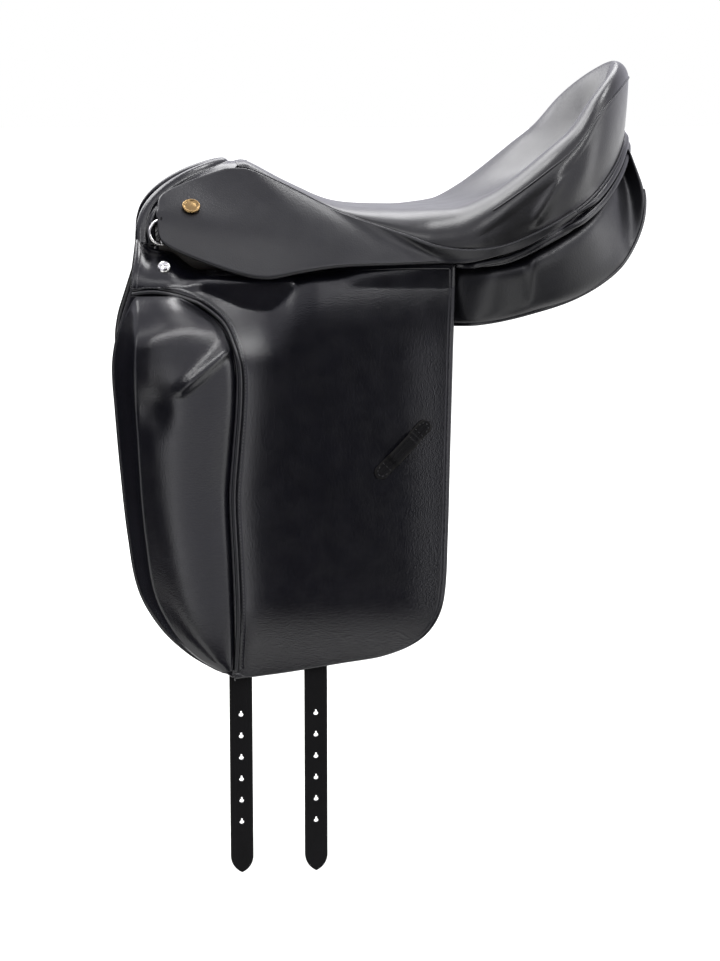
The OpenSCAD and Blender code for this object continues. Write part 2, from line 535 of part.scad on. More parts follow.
// Sweat flap under the billets: sewn to the panel's side, and set out under the flap.
function panel_v(x) = max([for (q = panel_ring(max(-215, min(60, x)), 22)) q[1]]);
module sweat_flap_side() {
  w = [0.19, 0.23, 0.29, 0.38, 0.48, 0.60, 0.71, 0.80, 0.87, 0.92, 0.94];
  f = [0, 0.08, 0.18, 0.28, 0.38, 0.48, 0.58, 0.68, 0.78, 0.9, 1];
  d = flap_t + billet_room;
  function at(u, k) = flap_x0(u) + 16 + k * (flap_x1(u) - flap_x0(u) - 30);
  function grid(t) = concat(
    [for (r = [0, 0.35, 0.7]) [for (k = f) let (x = at(0.19, k), a = panel_v(x) + 0.1 + sweat_t,
      b = flap_v(x, flap_zed(0.19)) - d)
      [x, a + (b - a) * r - t, -62 + (flap_zed(0.19) + 62) * r]]],
    [for (u = w) [for (k = f) let (x = at(u, k), z = flap_zed(u)) [x, flap_v(x, z) - d - t, z]]]);
  color([0.06, 0.06, 0.06]) between(grid(0), grid(sweat_t));
}

// Knee block: padded, steep along the flap's front edge and falling to the welt behind.
WELT = [[0.017, -0.77], [0.034, -0.727], [0.051, -0.691], [0.088, -0.636], [0.142, -0.604], [0.202,
  -0.585], [0.293, -0.585], [0.427, -0.600],
  [0.533, -0.611], [0.70, -0.604], [0.84, -0.600], [0.94, -0.607], [0.997, -0.611]];
function welt_x(w) = flap_front * curve(WELT, w);
BLOCK_P = [[0, 0.10], [0.05, 0.45], [0.12, 0.80], [0.20, 0.97], [0.30, 1], [0.5, 0.88], [0.75, 0.55],
  [0.92, 0.25], [1, 0.10]];
BLOCK_W = [[0.017, 0.12], [0.035, 0.42], [0.06, 0.68], [0.11, 0.93], [0.2, 1], [0.5, 0.9], [0.75,
  0.78], [0.88, 0.6], [0.95, 0.35], [0.985, 0.1]];
function block_t(f, w) = 1 + block_h * curve(BLOCK_P, f) * curve(BLOCK_W, w);
function block_lift(w) = seat_gap + 0.15 + 0.9 * (1 - ease(0.1, 0.3, w)) + 1.1 * (1 - ease(0.06, 0.13,
  w));
module knee_block_side() {
  w = [0.017, 0.026, 0.04, 0.06, 0.09, 0.13, 0.18, 0.25, 0.34, 0.44, 0.54, 0.64, 0.73, 0.81, 0.87,
    0.92, 0.955, 0.98];
  f = [0, 0.04, 0.09, 0.15, 0.23, 0.34, 0.48, 0.64, 0.8, 0.92, 1];
  function grid(top) = [for (u = w) [for (k = f) let (a = flap_x0(u) + 1,
    b = welt_x(u) - (block_piping_r + 0.9) * (1.9 - 0.9 * ease(0.05, 0.14, u)), x = a + k * (b - a),
    z = flap_zed(u))
    [x, flap_v(x, z) + block_lift(u) + (top ? 0.5 + block_t(k, u) : 0), z]]];
  color([0.05, 0.05, 0.06]) between(grid(true), grid(false));
}
module block_piping_side() {
  path = [for (u = concat([0.022, 0.03, 0.04, 0.055, 0.075, 0.10, 0.13, 0.17, 0.22], steps(0.28, 0.97,
    9))) let (z = flap_zed(u), x = welt_x(u))
    [x, flap_v(x, z) + block_piping_r + seat_gap + 0.1 + 0.9 * (1 - ease(0.1, 0.3, u)), z]];
  color([0.04, 0.04, 0.05]) cord(path, block_piping_r, 6);
}

// Keeper for the stirrup leather: a bridge strap, stitched down at both ends.
keeper_x = -12;
keeper_z = -171;
module keeper_side() {
  e = 8;
  p = [keeper_x, flap_v(keeper_x, keeper_z), keeper_z];
  tx = unit([2 * e, flap_v(keeper_x + e, keeper_z) - flap_v(keeper_x - e, keeper_z), 0]);
  tz = unit([0, flap_v(keeper_x, keeper_z + e) - flap_v(keeper_x, keeper_z - e), 2 * e]);
  n = unit(cross(tz, tx));
  u = unit(tx + 1.03 * tz);
  w = cross(n, u);
  o = p + n * (seat_gap + 0.1);
  color([0.06, 0.06, 0.07])
    multmatrix([[u[0], n[0], w[0], o[0]], [u[1], n[1], w[1], o[1]], [u[2], n[2], w[2], o[2]], [0, 0, 0,
      1]])
      translate([0, 0, -6]) linear_extrude(12)
        polygon([[-35, 0], [-16, 0], [-12, 6.5], [12, 6.5], [16, 0], [35, 0], [35, 2.5], [17, 2.5],
          [13, 9], [-13, 9], [-17, 2.5], [-35, 2.5]]);
}

// Skirt: a fixed upper part along the seam, and a lower part that lifts about a straight bend line.
skirt_v = arch_half_w + 9;
bend_a = [-pommel_x - 74, skirt_v, skirt_bend_z];
bend_b = [22, bend_half_w - 1, 3];
function bend_at(x) = bend_a + (bend_b - bend_a) * (x - bend_a[0]) / (bend_b[0] - bend_a[0]);
SKIRT_TOP = [[0, [-pommel_x - 73, 77, 48]], [0.05, [-pommel_x - 71, 67, 57]], [0.12, [-pommel_x - 60,
  58, 64]], [0.22, [-pommel_x - 37, 46, 73]],
  [0.36, [-pommel_x - 6, pommel_half_w + 5, pommel_z - 4.5]]];
function skirt_top(t) = t < 0.36 ? curve(SKIRT_TOP,
  t) : let (q = seam(0.035 + (t - 0.36) / 0.64 * 0.80))
  [q[0], q[1] + skirt_t + layer_gap + 1.9, q[2] - 0.6];
TAIL = [[0, bend_b], [0.3, [47, 0.90 * seat_half_w + 5, seam_low - 9]], [0.55, [72,
  0.97 * seat_half_w + 5.5, seam_low - 4]],
  [0.75, [97, seat_half_w + 5.5, seam_low + 4]], [0.9, [122, seat_half_w + 5.5, seam_low + 18]], [1,
    [0.68 * cantle_x, 0.955 * seat_half_w + 5, seam_low + 33]]];
function skirt_bend(t) = let (f = 0.70) t <= f ? bend_a + (bend_b - bend_a) * pow(t / f,
  0.95) : curve(TAIL, (t - f) / (1 - f));
module skirt_root_side() {
  // Behind the pommel the rows meet those of the seat cover.
  t = concat([0, 0.03], steps(0.07, 0.32, 7), [for (u = steps(0, 0.78,
    14)) if (u > 0) 0.36 + (u - 0.035) / 0.8 * 0.64], [1]);
  g = [for (u = t) [for (f = [0, 0.33, 0.67, 1]) let (a = skirt_top(u),
    b = skirt_bend(u)) a + f * (b - a) + [0, 1, 0.7] * 3 * f * (1 - f) * (1 - ease(0.5, 0.7, u))]];
  color([0.06, 0.06, 0.07]) between(g, moved(g, -skirt_t));
}
SKIRT_LOW = [[0, [bend_a[0] + 0.6, skirt_v + 2, skirt_bend_z - 2.5]], [0.04, [-pommel_x - 72.5,
  skirt_v + 11, 24]],
  [0.08, [-pommel_x - 68, skirt_v + 15, 17]], [0.16, [-pommel_x - 50, skirt_v + 21, 8]],
  [0.28, [-pommel_x - 18, skirt_v + 29, -4]], [0.40, [-pommel_x + 19, skirt_v + 34, skirt_low_z]],
  [0.54, [-105, skirt_v + 36, -8]], [0.68, [-69, skirt_v + 36.5, -2.5]], [0.84, [-24, bend_half_w + 3,
    -1]],
  [1, [bend_b[0], bend_half_w + 1.2, 0]]];
module skirt_side() {
  t = concat([0.004, 0.03], steps(0.06, 1, 15));
  x0 = bend_a[0] + 1;
  g = [for (u = t) let (b = curve(SKIRT_LOW, u), a = bend_at(b[0] < x0 ? x0 : b[0]),
    d = unit(b - a) * 1.75)
    [for (f = [0, 0.3, 0.65, 1]) a + d + f * (b - a - d) + [0, 1, 0.6] * 2.5 * f * (1 - f)]];
  color([0.06, 0.06, 0.07]) between(g, moved(g, -skirt_t));
}

// Domed head with its flat side on a surface, pointing along n.
module dome(p, n, r, h) {
  tilt = acos(n[2]);
  turn = atan2(n[1], n[0]);
  translate(p) rotate([0, tilt, turn]) rotate_extrude()
    polygon(concat([[0, 0], [r, 0]], [for (t = [0 : 15 : 90]) [r * cos(t),
      0.35 * h + 0.65 * h * sin(t)]]));
}
module skirt_stud_side() {
  u = 0.115;
  a = skirt_top(u);
  b = skirt_bend(u);
  n = unit(cross(skirt_bend(u + 0.04) - skirt_bend(u - 0.04), b - a));
  m = n[1] < 0 ? -n : n;
  color([0.85, 0.62, 0.25]) dome(a + 0.55 * (b - a) + m * 1.3, m, stud_r, 4);
}
module flap_screw_side() {
  x = screw_set - flap_front;
  q = curve([for (k = ROOT_TOP) [-k[0] * flap_front, k[1]]], x);
  b = flap_v(x, bend_z);
  r = 0.45;
  z = q[1] + r * (bend_z - q[1]);
  v = q[0] + (b - q[0]) * (0.35 * r + 0.65 * sin(90 * r));
  m = unit([-0.25, 0.8, 0.5]);
  color([0.75, 0.76, 0.78]) difference() {
    dome([x, v, z] + m * 2.15, m, screw_r, 3.5);
    translate([x, v, z] + m * 5) rotate([0, acos(m[2]), atan2(m[1], m[0])]) cube([1.2, 3 * screw_r,
      1.2], center = true);
  }
}

// Stirrup bar: plate on the arch, bar in front of it, with a catch at its open rear end.
module rounded_bar(len) {
  rotate([90, 0, 90]) linear_extrude(len) union() {
    translate([0, bar_h / 2 - bar_t / 2]) circle(bar_t / 2);
    translate([0, -bar_h / 2 + bar_t / 2]) circle(bar_t / 2);
    square([bar_t, bar_h - bar_t], center = true);
  }
}
pin_p = [bar_rear_x - 4.5, bar_mid_v, bar_z0 + bar_h / 2];
module stirrup_bar_side() {
  color([0.6, 0.61, 0.63]) difference() {
    union() {
      translate([bar_front_x, arch_half_w + seat_gap, -2]) cube([bar_len - 16, bar_plate_t, 24]);
      translate([bar_front_x, slot_v0 - 0.5, bar_z0 + 0.5]) cube([9, bar_slot + bar_t / 2 + 0.5,
        bar_h - 1]);
      translate([bar_front_x, bar_mid_v, bar_z0 + bar_h / 2]) rounded_bar(bar_len);
    }
    translate([bar_rear_x - 10, bar_mid_v - 1.9, bar_z0 - 1]) cube([12, 3.8, bar_h + 2]);
    translate(pin_p) rotate([90, 0, 0]) cylinder(r = pin_r + 0.05, h = bar_t + 2, center = true);
    for (dx = [16, 52]) translate([bar_front_x + dx, arch_half_w, 17]) rotate([-90, 0,
      0]) cylinder(r = 2.05, h = 20, center = true);
  }
}
module bar_rivets_side() {
  color([0.7, 0.55, 0.4]) for (dx = [16, 52]) translate([bar_front_x + dx, arch_half_w + seat_gap,
    17]) rotate([-90, 0, 0]) {
    cylinder(r = 1.9, h = bar_plate_t + 0.6);
    translate([0, 0, bar_plate_t + seat_gap / 2]) cylinder(r = 3.6, h = 1.4);
  }
}
module bar_catch_side() {
  color([0.55, 0.56, 0.58]) difference() {
    union() {
      translate(pin_p) rotate([90, 0, 0]) cylinder(r = 4, h = 3, center = true);
      translate(pin_p + [0, -1.5, -2.5]) cube([catch_len - 3, 3, 5]);
      translate(pin_p + [catch_len - 3, 0, 0]) rotate([90, 0, 0]) cylinder(r = 3, h = 3, center = true);
    }
    translate(pin_p) rotate([90, 0, 0]) cylinder(r = pin_r + run_gap, h = 8, center = true);
  }
}
module catch_pin_side() {
  color([0.7, 0.71, 0.73]) translate(pin_p) rotate([90, 0, 0]) cylinder(r = pin_r, h = bar_t - 0.4,
    center = true);
}

// Dee ring in a leather chape under the skirt's front corner.
dee_p = [-pommel_x - 70, arch_half_w + seat_gap + 2 * chape_t + run_gap + dee_wire - 1.35, 25];
dee_tilt = 14;
dee_bar = dee_r - dee_wire;
module dee_side() {
  color([0.78, 0.79, 0.8]) translate(dee_p) rotate([dee_tilt, 0, 0]) {
    cylinder(r = dee_wire, h = 2 * dee_bar, center = true);
    rotate([90, 0, 0]) rotate([0, 0, 90]) rotate_extrude(angle = 180) translate([dee_bar,
      0]) circle(dee_wire);
    for (e = [-1, 1]) translate([0, 0, e * dee_bar]) sphere(dee_wire);
  }
}
module dee_chape_side() {
  r = dee_wire + run_gap;
  color([0.07, 0.07, 0.07]) translate(dee_p) rotate([dee_tilt, 0, 0]) difference() {
    union() {
      cylinder(r = r + chape_t, h = 10, center = true);
      translate([0, -r - chape_t, -5]) cube([20, chape_t, 10]);
    }
    cylinder(r = r, h = 12, center = true);
  }
}

// Billets: straps with a round pivot end, a set-out to clear the panel, and a pointed tip.
// Points are [v, z]; k sets the strap's middle between flap (0) and sweat flap (1).
function strap_v(x, z, k) = flap_v(-x, z) - flap_t - billet_t / 2 - k * (billet_room - billet_t);
function strap_top(x, k) = [[pivot_v, pivot_z + billet_w / 2 + 1.5], [pivot_v, pivot_z - 11],
  [pivot_v + 2, pivot_z - 16],
  [strap_v(x, -88, k) - 3, -82], [strap_v(x, -88, k), -88]];
function hanging(x) = let (v = strap_v(x, hang_z + 14, 0.5)) concat(strap_top(x, 0.5),
  [[v - 0.4, hang_z + 10], [v, hang_z + 4], [v + 0.2, hang_z - 6], [v + 0.2, -billet_end]]);
function run(p, i = 0) = i >= len(p) - 1 ? 0 : norm(p[i + 1] - p[i]) + run(p, i + 1);
function offset_line(p, d) = [for (i = [0 : len(p) - 1]) let (n = len(p) - 1,
  a = i == 0 ? unit(p[1] - p[0]) : unit(p[i] - p[i - 1]),
  b = i == n ? a : unit(p[i + 1] - p[i]), t = unit(a + b), m = [t[1], -t[0]]) p[i] + m * d / max(0.5,
    t * a)];
// Half round at the pivot end, then straight down to z.
module billet_end_outline(z) {
  polygon(concat([for (t = [0 : 15 : 180]) [billet_w / 2 * cos(t), pivot_z + billet_w / 2 * sin(t)]],
    [[-billet_w / 2, z], [billet_w / 2, z]]));
}
// Pointed tip at the origin, made of two arcs, then straight up for h.
module billet_tip_outline(h) {
  r = (billet_w ^ 2 / 4 + billet_tip ^ 2) / billet_w;
  arc = [for (a = steps(0, asin(billet_tip / r), 6)) [billet_w / 2 - r + r * cos(a),
    billet_tip - r * sin(a)]];
  polygon(concat([[billet_w / 2, h], [-billet_w / 2, h]], [for (q = arc) [-q[0], q[1]]],
    [for (i = [5 : -1 : 0]) arc[i]]));
}
// Strap of the billet's thickness along a line of [v, z], at station -x.
module strap(x, line) {
  along_x(-x - billet_w / 2 - 3, -x + billet_w / 2 + 3)
    polygon(concat(offset_line(line, billet_t / 2), flip(offset_line(line, -billet_t / 2))));
}
// Outline in X and Z, drawn along Y through the strap.
module through_strap(x) {
  translate([-x, 300, 0]) rotate([90, 0, 0]) linear_extrude(300) children();
}
module pivot_hole(x) {
  translate([-x, pivot_v, pivot_z]) rotate([90, 0, 0]) cylinder(r = rivet_r + run_gap,
    h = 3 * billet_t, center = true);
}
// Six buckle holes up from the tip, each with a slit for the tongue's root; h is the cutters' length.
module buckle_holes(h) {
  for (i = [0 : 5]) translate([0, 0, first_hole + i * hole_pitch]) rotate([90, 0, 0]) {
    cylinder(r = hole_r, h = h, center = true);
    translate([0, hole_r + 0.6, 0]) cube([1.6, 2.4, h], center = true);
  }
}
module billet_hanging(x) {
  line = hanging(x);
  split = hang_z - 20;
  color([0.05, 0.05, 0.05]) difference() {
    intersection() {
      strap(x, line);
      union() {
        through_strap(x) billet_end_outline(split);
        through_strap(x) translate([0, -billet_end]) billet_tip_outline(split + billet_end);
      }
    }
    pivot_hole(x);
    translate([-x, line[8][0], -billet_end]) buckle_holes(3 * billet_t);
  }
}
// Billet put away: down beside the sweat flap, folded, and up again beside the flap.
function tuck_down(x) = concat(strap_top(x, tuck_k), [[strap_v(x, tuck_z, tuck_k), tuck_z]]);
function tuck_fold(x) = let (c = [strap_v(x, tuck_z, tuck_k) + fold_step / 2, tuck_z])
  [for (t = [195 : 30 : 345]) c + fold_step / 2 * [cos(t), sin(t) - 0.1]];
function tuck_up(x, z) = [strap_v(x, z, tuck_k) + fold_step, z];
module billet_tucked(x) {
  down = concat(tuck_down(x), tuck_fold(x));
  up = (run(hanging(x)) - run(down)) / norm([flap_lean, 1]);
  tip = tuck_up(x, tuck_z + up);
  reach = billet_t / 2 + 0.6;
  color([0.05, 0.05, 0.05]) difference() {
    intersection() {
      strap(x, concat(down, [tuck_up(x, tuck_z), tip]));
      through_strap(x) billet_end_outline(tuck_z - 40);
    }
    pivot_hole(x);
    translate([-x, tip[0], tip[1]]) rotate([atan(flap_lean), 0, 0]) {
      mirror([0, 0, 1]) buckle_holes(2 * reach);
      translate([0, 3 * reach, 0]) rotate([90, 0, 0]) linear_extrude(4 * reach) difference() {
        translate([-billet_w, -billet_tip]) square([2 * billet_w, billet_tip + 5]);
        mirror([0, 1]) billet_tip_outline(billet_tip + 2);
      }
    }
  }
}
// Strap that carries the front billet, on the arch below the stirrup bar.
module point_strap_side() {
  a = arch_half_w + seat_gap;
  c = pivot_v - billet_t / 2 - seat_gap;
  color([0.08, 0.08, 0.08]) along_x(-billet_front_x - 11, -billet_front_x + 11)
    polygon([[a, -2.6], [a, -14.6], [c - 2.5, -20], [c - 2.5, pivot_z - 12], [c, pivot_z - 12], [c,
      -19], [a + 2.5, -12.5], [a + 2.5, -2.6]]);
}
module billet_rivets_side() {
  back = pivot_v - billet_t / 2 - seat_gap;
  color([0.72, 0.5, 0.35]) for (x = [billet_front_x, billet_rear_x]) translate([-x, back + 0.05,
    pivot_z]) rotate([-90, 0, 0]) {
    cylinder(r = rivet_r, h = billet_t + seat_gap + run_gap);
    translate([0, 0, billet_t + seat_gap + run_gap]) cylinder(r = rivet_r + 2, h = 0.9);
  }
}

module side(name) {
  mirror([0, 1, 0]) children();
  children();
}

tree();
head_plate();
strainer_web();
girth_web();
channel_lining();
seat_foam();
seat_cover();
cantle_welt_upper();
cantle_welt_lower();
pommel_roll();
pommel_facing();
side("panel") panel_side();
side("sweat_flap") sweat_flap_side();
side("flap_root") flap_root_side();
side("flap") flap_side();
side("knee_block") knee_block_side();
side("block_piping") block_piping_side();
side("keeper") keeper_side();
side("skirt_root") skirt_root_side();
side("skirt") skirt_side();
side("skirt_stud") skirt_stud_side();
side("flap_screw") flap_screw_side();
side("stirrup_bar") stirrup_bar_side();
side("bar_rivets") bar_rivets_side();
side("bar_catch") bar_catch_side();
side("catch_pin") catch_pin_side();
side("dee") dee_side();
side("dee_chape") dee_chape_side();
side("point_strap") point_strap_side();
mirror([0, 1, 0]) billet_hanging(billet_front_x);  // billet_front_left
mirror([0, 1, 0]) billet_hanging(billet_rear_x);  // billet_rear_left
billet_tucked(billet_front_x);  // billet_front_right
billet_tucked(billet_rear_x);  // billet_rear_right
side("billet_rivets") billet_rivets_side();
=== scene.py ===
"""Dressage saddle: the looks of its leather, padding, stitching and metal.

Shapes are worked out in millimetres in the part's own frame: +X to the cantle, +Z up, the rider's left side
at -Y. They are grids of points on the right side; SIDES mirrors them, and piece() turns them to metres.
"""
import math

import bmesh
import bpy
import numpy as np
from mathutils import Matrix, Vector


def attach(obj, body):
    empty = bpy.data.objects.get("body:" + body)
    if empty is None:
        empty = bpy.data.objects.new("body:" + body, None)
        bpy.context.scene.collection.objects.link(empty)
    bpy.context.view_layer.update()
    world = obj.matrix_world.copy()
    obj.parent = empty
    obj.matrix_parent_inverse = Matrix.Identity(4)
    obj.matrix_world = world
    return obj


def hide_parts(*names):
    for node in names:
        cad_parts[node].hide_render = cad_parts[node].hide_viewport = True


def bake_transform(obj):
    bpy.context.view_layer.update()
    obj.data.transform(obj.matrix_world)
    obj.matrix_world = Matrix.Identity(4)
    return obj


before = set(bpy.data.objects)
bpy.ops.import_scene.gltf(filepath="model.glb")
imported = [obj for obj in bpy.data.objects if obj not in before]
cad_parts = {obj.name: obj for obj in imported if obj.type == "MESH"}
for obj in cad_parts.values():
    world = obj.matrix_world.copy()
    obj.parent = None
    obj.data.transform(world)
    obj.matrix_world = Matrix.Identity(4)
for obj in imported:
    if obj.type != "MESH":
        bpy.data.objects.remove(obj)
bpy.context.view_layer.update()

MM = 0.001
SIDES = {"left": -1.0, "right": 1.0}

# Seat
POMMEL_X, POMMEL_Z, POMMEL_HALF_W = 159.0, 87.5, 34.0
SEAT_Z, SEAT_HALF_W = 44.0, 149.0
CANTLE_X, CANTLE_Z = 214.0, 181.0
SEAM_LOW, SEAM_BACK = 11.0, 115.0
DECK_DEPTH = 27.0
ARCH_HALF_W, ARCH_Z = 76.0, 56.0
# Panels
CHANNEL_HALF_W, PANEL_TAIL = 29.0, 7.0
TAIL_X = CANTLE_X + PANEL_TAIL + 2
# Flaps
BEND_Z, BEND_HALF_W, FLAP_DROP = -24.0, 118.0, 351.0
FLAP_FRONT, FLAP_BACK, FLAP_LEAN, FLAP_BOW = 275.0, 38.0, 0.155, 0.00004
FLAP_T, SWEAT_T, BILLET_ROOM = 4.5, 4.0, 14.0
BLOCK_H, BLOCK_PIPING_R = 34.0, 2.0
# Skirts
SKIRT_T, SKIRT_BEND_Z, SKIRT_LOW_Z, LAYER_GAP = 4.0, 40.0, -14.0, 0.4
SKIRT_V = ARCH_HALF_W + 9.0
STUD_R = 8.5
# Billets
BILLET_W, BILLET_T, BILLET_END, BILLET_TIP = 21.0, 4.2, 564.0, 16.0
BILLET_X = {"front": 163.0, "rear": 94.0}
HOLE_PITCH, HOLE_R, FIRST_HOLE, HOLES = 20.5, 2.2, 48.0, 6
PIVOT_Z, PIVOT_V = -30.0, ARCH_HALF_W + 7.0 + BILLET_T / 2
HOLLOW = BEND_HALF_W - (PIVOT_V + BILLET_T / 2 + 5.0 + FLAP_T)
TUCK_Z, FOLD_STEP = -335.0, BILLET_T + 1.2
TUCK_K = 1.0 - 1.4 / (BILLET_ROOM - BILLET_T)
# Trim
WELT_R, ROLL_R, SEAT_GAP = 3.2, 7.0, 0.2
DEE_R, DEE_WIRE, DEE_TILT = 13.0, 1.8, math.radians(14)
CHAPE_T, CHAPE_PLAY, DEE_SINK = 1.8, 0.3, 1.35
DEE_V = ARCH_HALF_W + SEAT_GAP + 2 * CHAPE_T + CHAPE_PLAY + DEE_WIRE - DEE_SINK
DEE_P = np.array([-POMMEL_X - 70, DEE_V, 25.0])
RIM_PIPING_R, SEAM_PIPING_R, PANEL_PIPING_R, POMMEL_WELT_R = 0.9, 1.3, 1.6, 1.9
STITCH_PITCH, STITCH_L, STITCH_R = 3.2, 2.3, 0.45
STITCH_SHAPE = np.array([(-0.5, 0.2, -0.9), (-0.32, 0.85, -0.1), (0, 1, 0.25), (0.32, 0.85, -0.1),
                         (0.5, 0.2, -0.9)])
EDGE_BULGE = 0.35


# Numbers and curves

def curve(knots, t):
    """Smooth curve through knots (t, value): cubic pieces, each knot's slope taken from its neighbours."""
    at = np.array([k[0] for k in knots], float)
    value = np.array([k[1] for k in knots], float)
    t = np.clip(np.asarray(t, float), at[0], at[-1])
    last = len(at) - 1
    i = np.clip(np.searchsorted(at, t, side="right") - 1, 0, last - 1)
    before = np.maximum(np.arange(last + 1) - 1, 0)
    after = np.minimum(np.arange(last + 1) + 1, last)
    width = at[after] - at[before]
    slope = (value[after] - value[before]) / (width if value.ndim == 1 else width[:, None])
    step = at[i + 1] - at[i]
    f = (t - at[i]) / step
    if value.ndim > 1:
        f = f[..., None]
        step = step[..., None]
    rise = value[i] * (2 * f ** 3 - 3 * f ** 2 + 1) + value[i + 1] * (3 * f ** 2 - 2 * f ** 3)
    return rise + step * (slope[i] * (f ** 3 - 2 * f ** 2 + f) + slope[i + 1] * (f ** 3 - f ** 2))


def moved(knots, origin):
    """Knots (t, point) with every point moved by origin."""
    return [(t, tuple(np.add(point, origin))) for t, point in knots]


def ease(a, b, t):
    """0 before a, 1 after b, and a smooth step between."""
    f = np.clip((np.asarray(t, float) - a) / (b - a), 0, 1)
    return f * f * (3 - 2 * f)


def bell(t, width):
    """Bell curve of height 1 round 0."""
    return np.exp(-((t / width) ** 2))


def unit(v):
    """Vectors of length 1."""
    return v / np.maximum(np.linalg.norm(v, axis=-1, keepdims=True), 1e-9)


def xyz(x, y, z):
    """Points from three arrays that fit together."""
    return np.stack(np.broadcast_arrays(x, y, z), axis=-1).astype(float)


def spread(*runs):
    """Numbers of several even runs (first, last, count), one after another."""
    return np.concatenate([np.linspace(*run) for run in runs])


def lengths(path):
    """Length along a path up to each of its points."""
    return np.concatenate([[0], np.cumsum(np.linalg.norm(np.diff(path, axis=0), axis=1))])


def resampled(path, gap):
    """The same path with points about one gap apart."""
    run = lengths(path)
    at = np.linspace(0, run[-1], max(2, int(run[-1] / gap) + 1))
    return np.stack([np.interp(at, run, column) for column in path.T], axis=1)


def smoothed(path, count):
    """Path whose points are the means of count points round them, with the end points repeated."""
    kernel = np.ones(count) / count
    columns = [np.pad(column, count // 2, mode="edge") for column in path.T]
    return np.stack([np.convolve(column, kernel, "valid") for column in columns], axis=1)


def mirrored_path(half):
    """Path on the right side, carried on over the centre plane to the left."""
    return np.concatenate([half, half[-2::-1] * (1, -1, 1)])


def line_distance(x, z, a, b):
    """Distance of points (x, z) from the line a to b, and how far along it they lie, 0 to 1."""
    d = np.array(b, float) - np.array(a, float)
    f = ((x - a[0]) * d[0] + (z - a[1]) * d[1]) / (d @ d)
    g = np.clip(f, 0, 1)
    return np.hypot(x - a[0] - g * d[0], z - a[1] - g * d[1]), f


# Meshes

def quads(rows, columns, wrap=False, start=0):
    """Corner numbers of a grid's faces; with wrap the last column joins the first."""
    i, j = np.meshgrid(np.arange(rows - 1), np.arange(columns if wrap else columns - 1), indexing="ij")
    right = (j + 1) % columns
    corners = [i * columns + j, i * columns + right, (i + 1) * columns + right, (i + 1) * columns + j]
    return start + np.stack(corners, axis=-1).reshape(-1, 4)


def both_faces(rows, columns):
    """Faces of a grid, and of a second grid behind it, turned the other way."""
    return [quads(rows, columns), quads(rows, columns, start=rows * columns)[:, ::-1]]


def loop_wall(a, b):
    """Faces between two closed loops of point numbers."""
    return np.stack([a, np.roll(a, -1), np.roll(b, -1), b], axis=1)


def normals(grid, axis=1):
    """Unit normals of a grid, from the slopes along its rows and columns, turned to + on an axis."""
    n = unit(np.cross(np.gradient(grid, axis=0), np.gradient(grid, axis=1)))
    return n if n[..., axis].mean() > 0 else -n


def edge_distance(grid):
    """Distance in mm of each grid point from the nearest border, along rows and columns."""
    nearest = []
    for axis in (0, 1):
        step = np.linalg.norm(np.diff(grid, axis=axis), axis=-1)
        zero = np.zeros_like(np.take(step, [0], axis=axis))
        run = np.concatenate([zero, np.cumsum(step, axis=axis)], axis=axis)
        nearest += [run, np.take(run, [-1], axis=axis) - run]
    return np.minimum.reduce(nearest)


def border(rows, columns):
    """Point numbers round a grid's border, in order."""
    number = np.arange(rows * columns).reshape(rows, columns)
    return np.concatenate([number[0, :-1], number[:-1, -1], number[-1, :0:-1], number[:0:-1, 0]])


def leather_sheet(outer, thickness):
    """Closed sheet: the outer grid, the same grid one thickness in along its normals, and a rounded edge."""
    rows, columns = outer.shape[:2]
    count = rows * columns
    n = normals(outer)
    rim = border(rows, columns)
    p, m = outer.reshape(-1, 3)[rim], n.reshape(-1, 3)[rim]
    out = unit(np.cross(np.roll(p, -1, axis=0) - np.roll(p, 1, axis=0), m))
    if np.mean(np.sum(out * (p - p.mean(axis=0)), axis=1)) < 0:
        out = -out
    turns = np.radians([45, 90, 135])[:, None, None]
    rings = p - m * thickness / 2 * (1 - np.cos(turns)) + out * EDGE_BULGE * thickness * np.sin(turns)
    points = np.concatenate([part.reshape(-1, 3) for part in (outer, outer - thickness * n, rings)])
    loops = [rim] + [2 * count + k * len(rim) + np.arange(len(rim)) for k in range(3)] + [count + rim]
    walls = [loop_wall(a, b) for a, b in zip(loops[:-1], loops[1:])]
    edge = edge_distance(outer).reshape(-1)
    edges = np.concatenate([edge, edge, np.zeros(3 * len(rim))])
    return points, np.concatenate(both_faces(rows, columns) + walls), edges


def pad(top, bottom):
    """Closed body between two grids of one size, joined round their borders."""
    rows, columns = top.shape[:2]
    rim = border(rows, columns)
    points = np.concatenate([top.reshape(-1, 3), bottom.reshape(-1, 3)])
    faces = np.concatenate(both_faces(rows, columns) + [loop_wall(rim, rows * columns + rim)])
    edge = edge_distance(top).reshape(-1)
    return points, faces, np.concatenate([edge, edge])


def rolled(grid):
    """Body of a grid whose last column joins its first."""
    return grid.reshape(-1, 3), quads(*grid.shape[:2], wrap=True), None


def end_cap(ring):
    """Row of points that draws an end ring to its middle."""
    return np.repeat(ring.mean(axis=0)[None], len(ring), axis=0)[None]


def loft(rings):
    """Closed body through closed rings of points, each end drawn to its middle."""
    return rolled(np.concatenate([end_cap(rings[0]), rings, end_cap(rings[-1])]))


def circle(sides, u, w):
    """Points of a circle of radius 1 in the plane of u and w."""
    a = np.linspace(0, 2 * np.pi, sides, endpoint=False)[None, :, None]
    return np.cos(a) * u + np.sin(a) * w


CROSS_HINT = np.array([0.0, 0.3, 1.0])


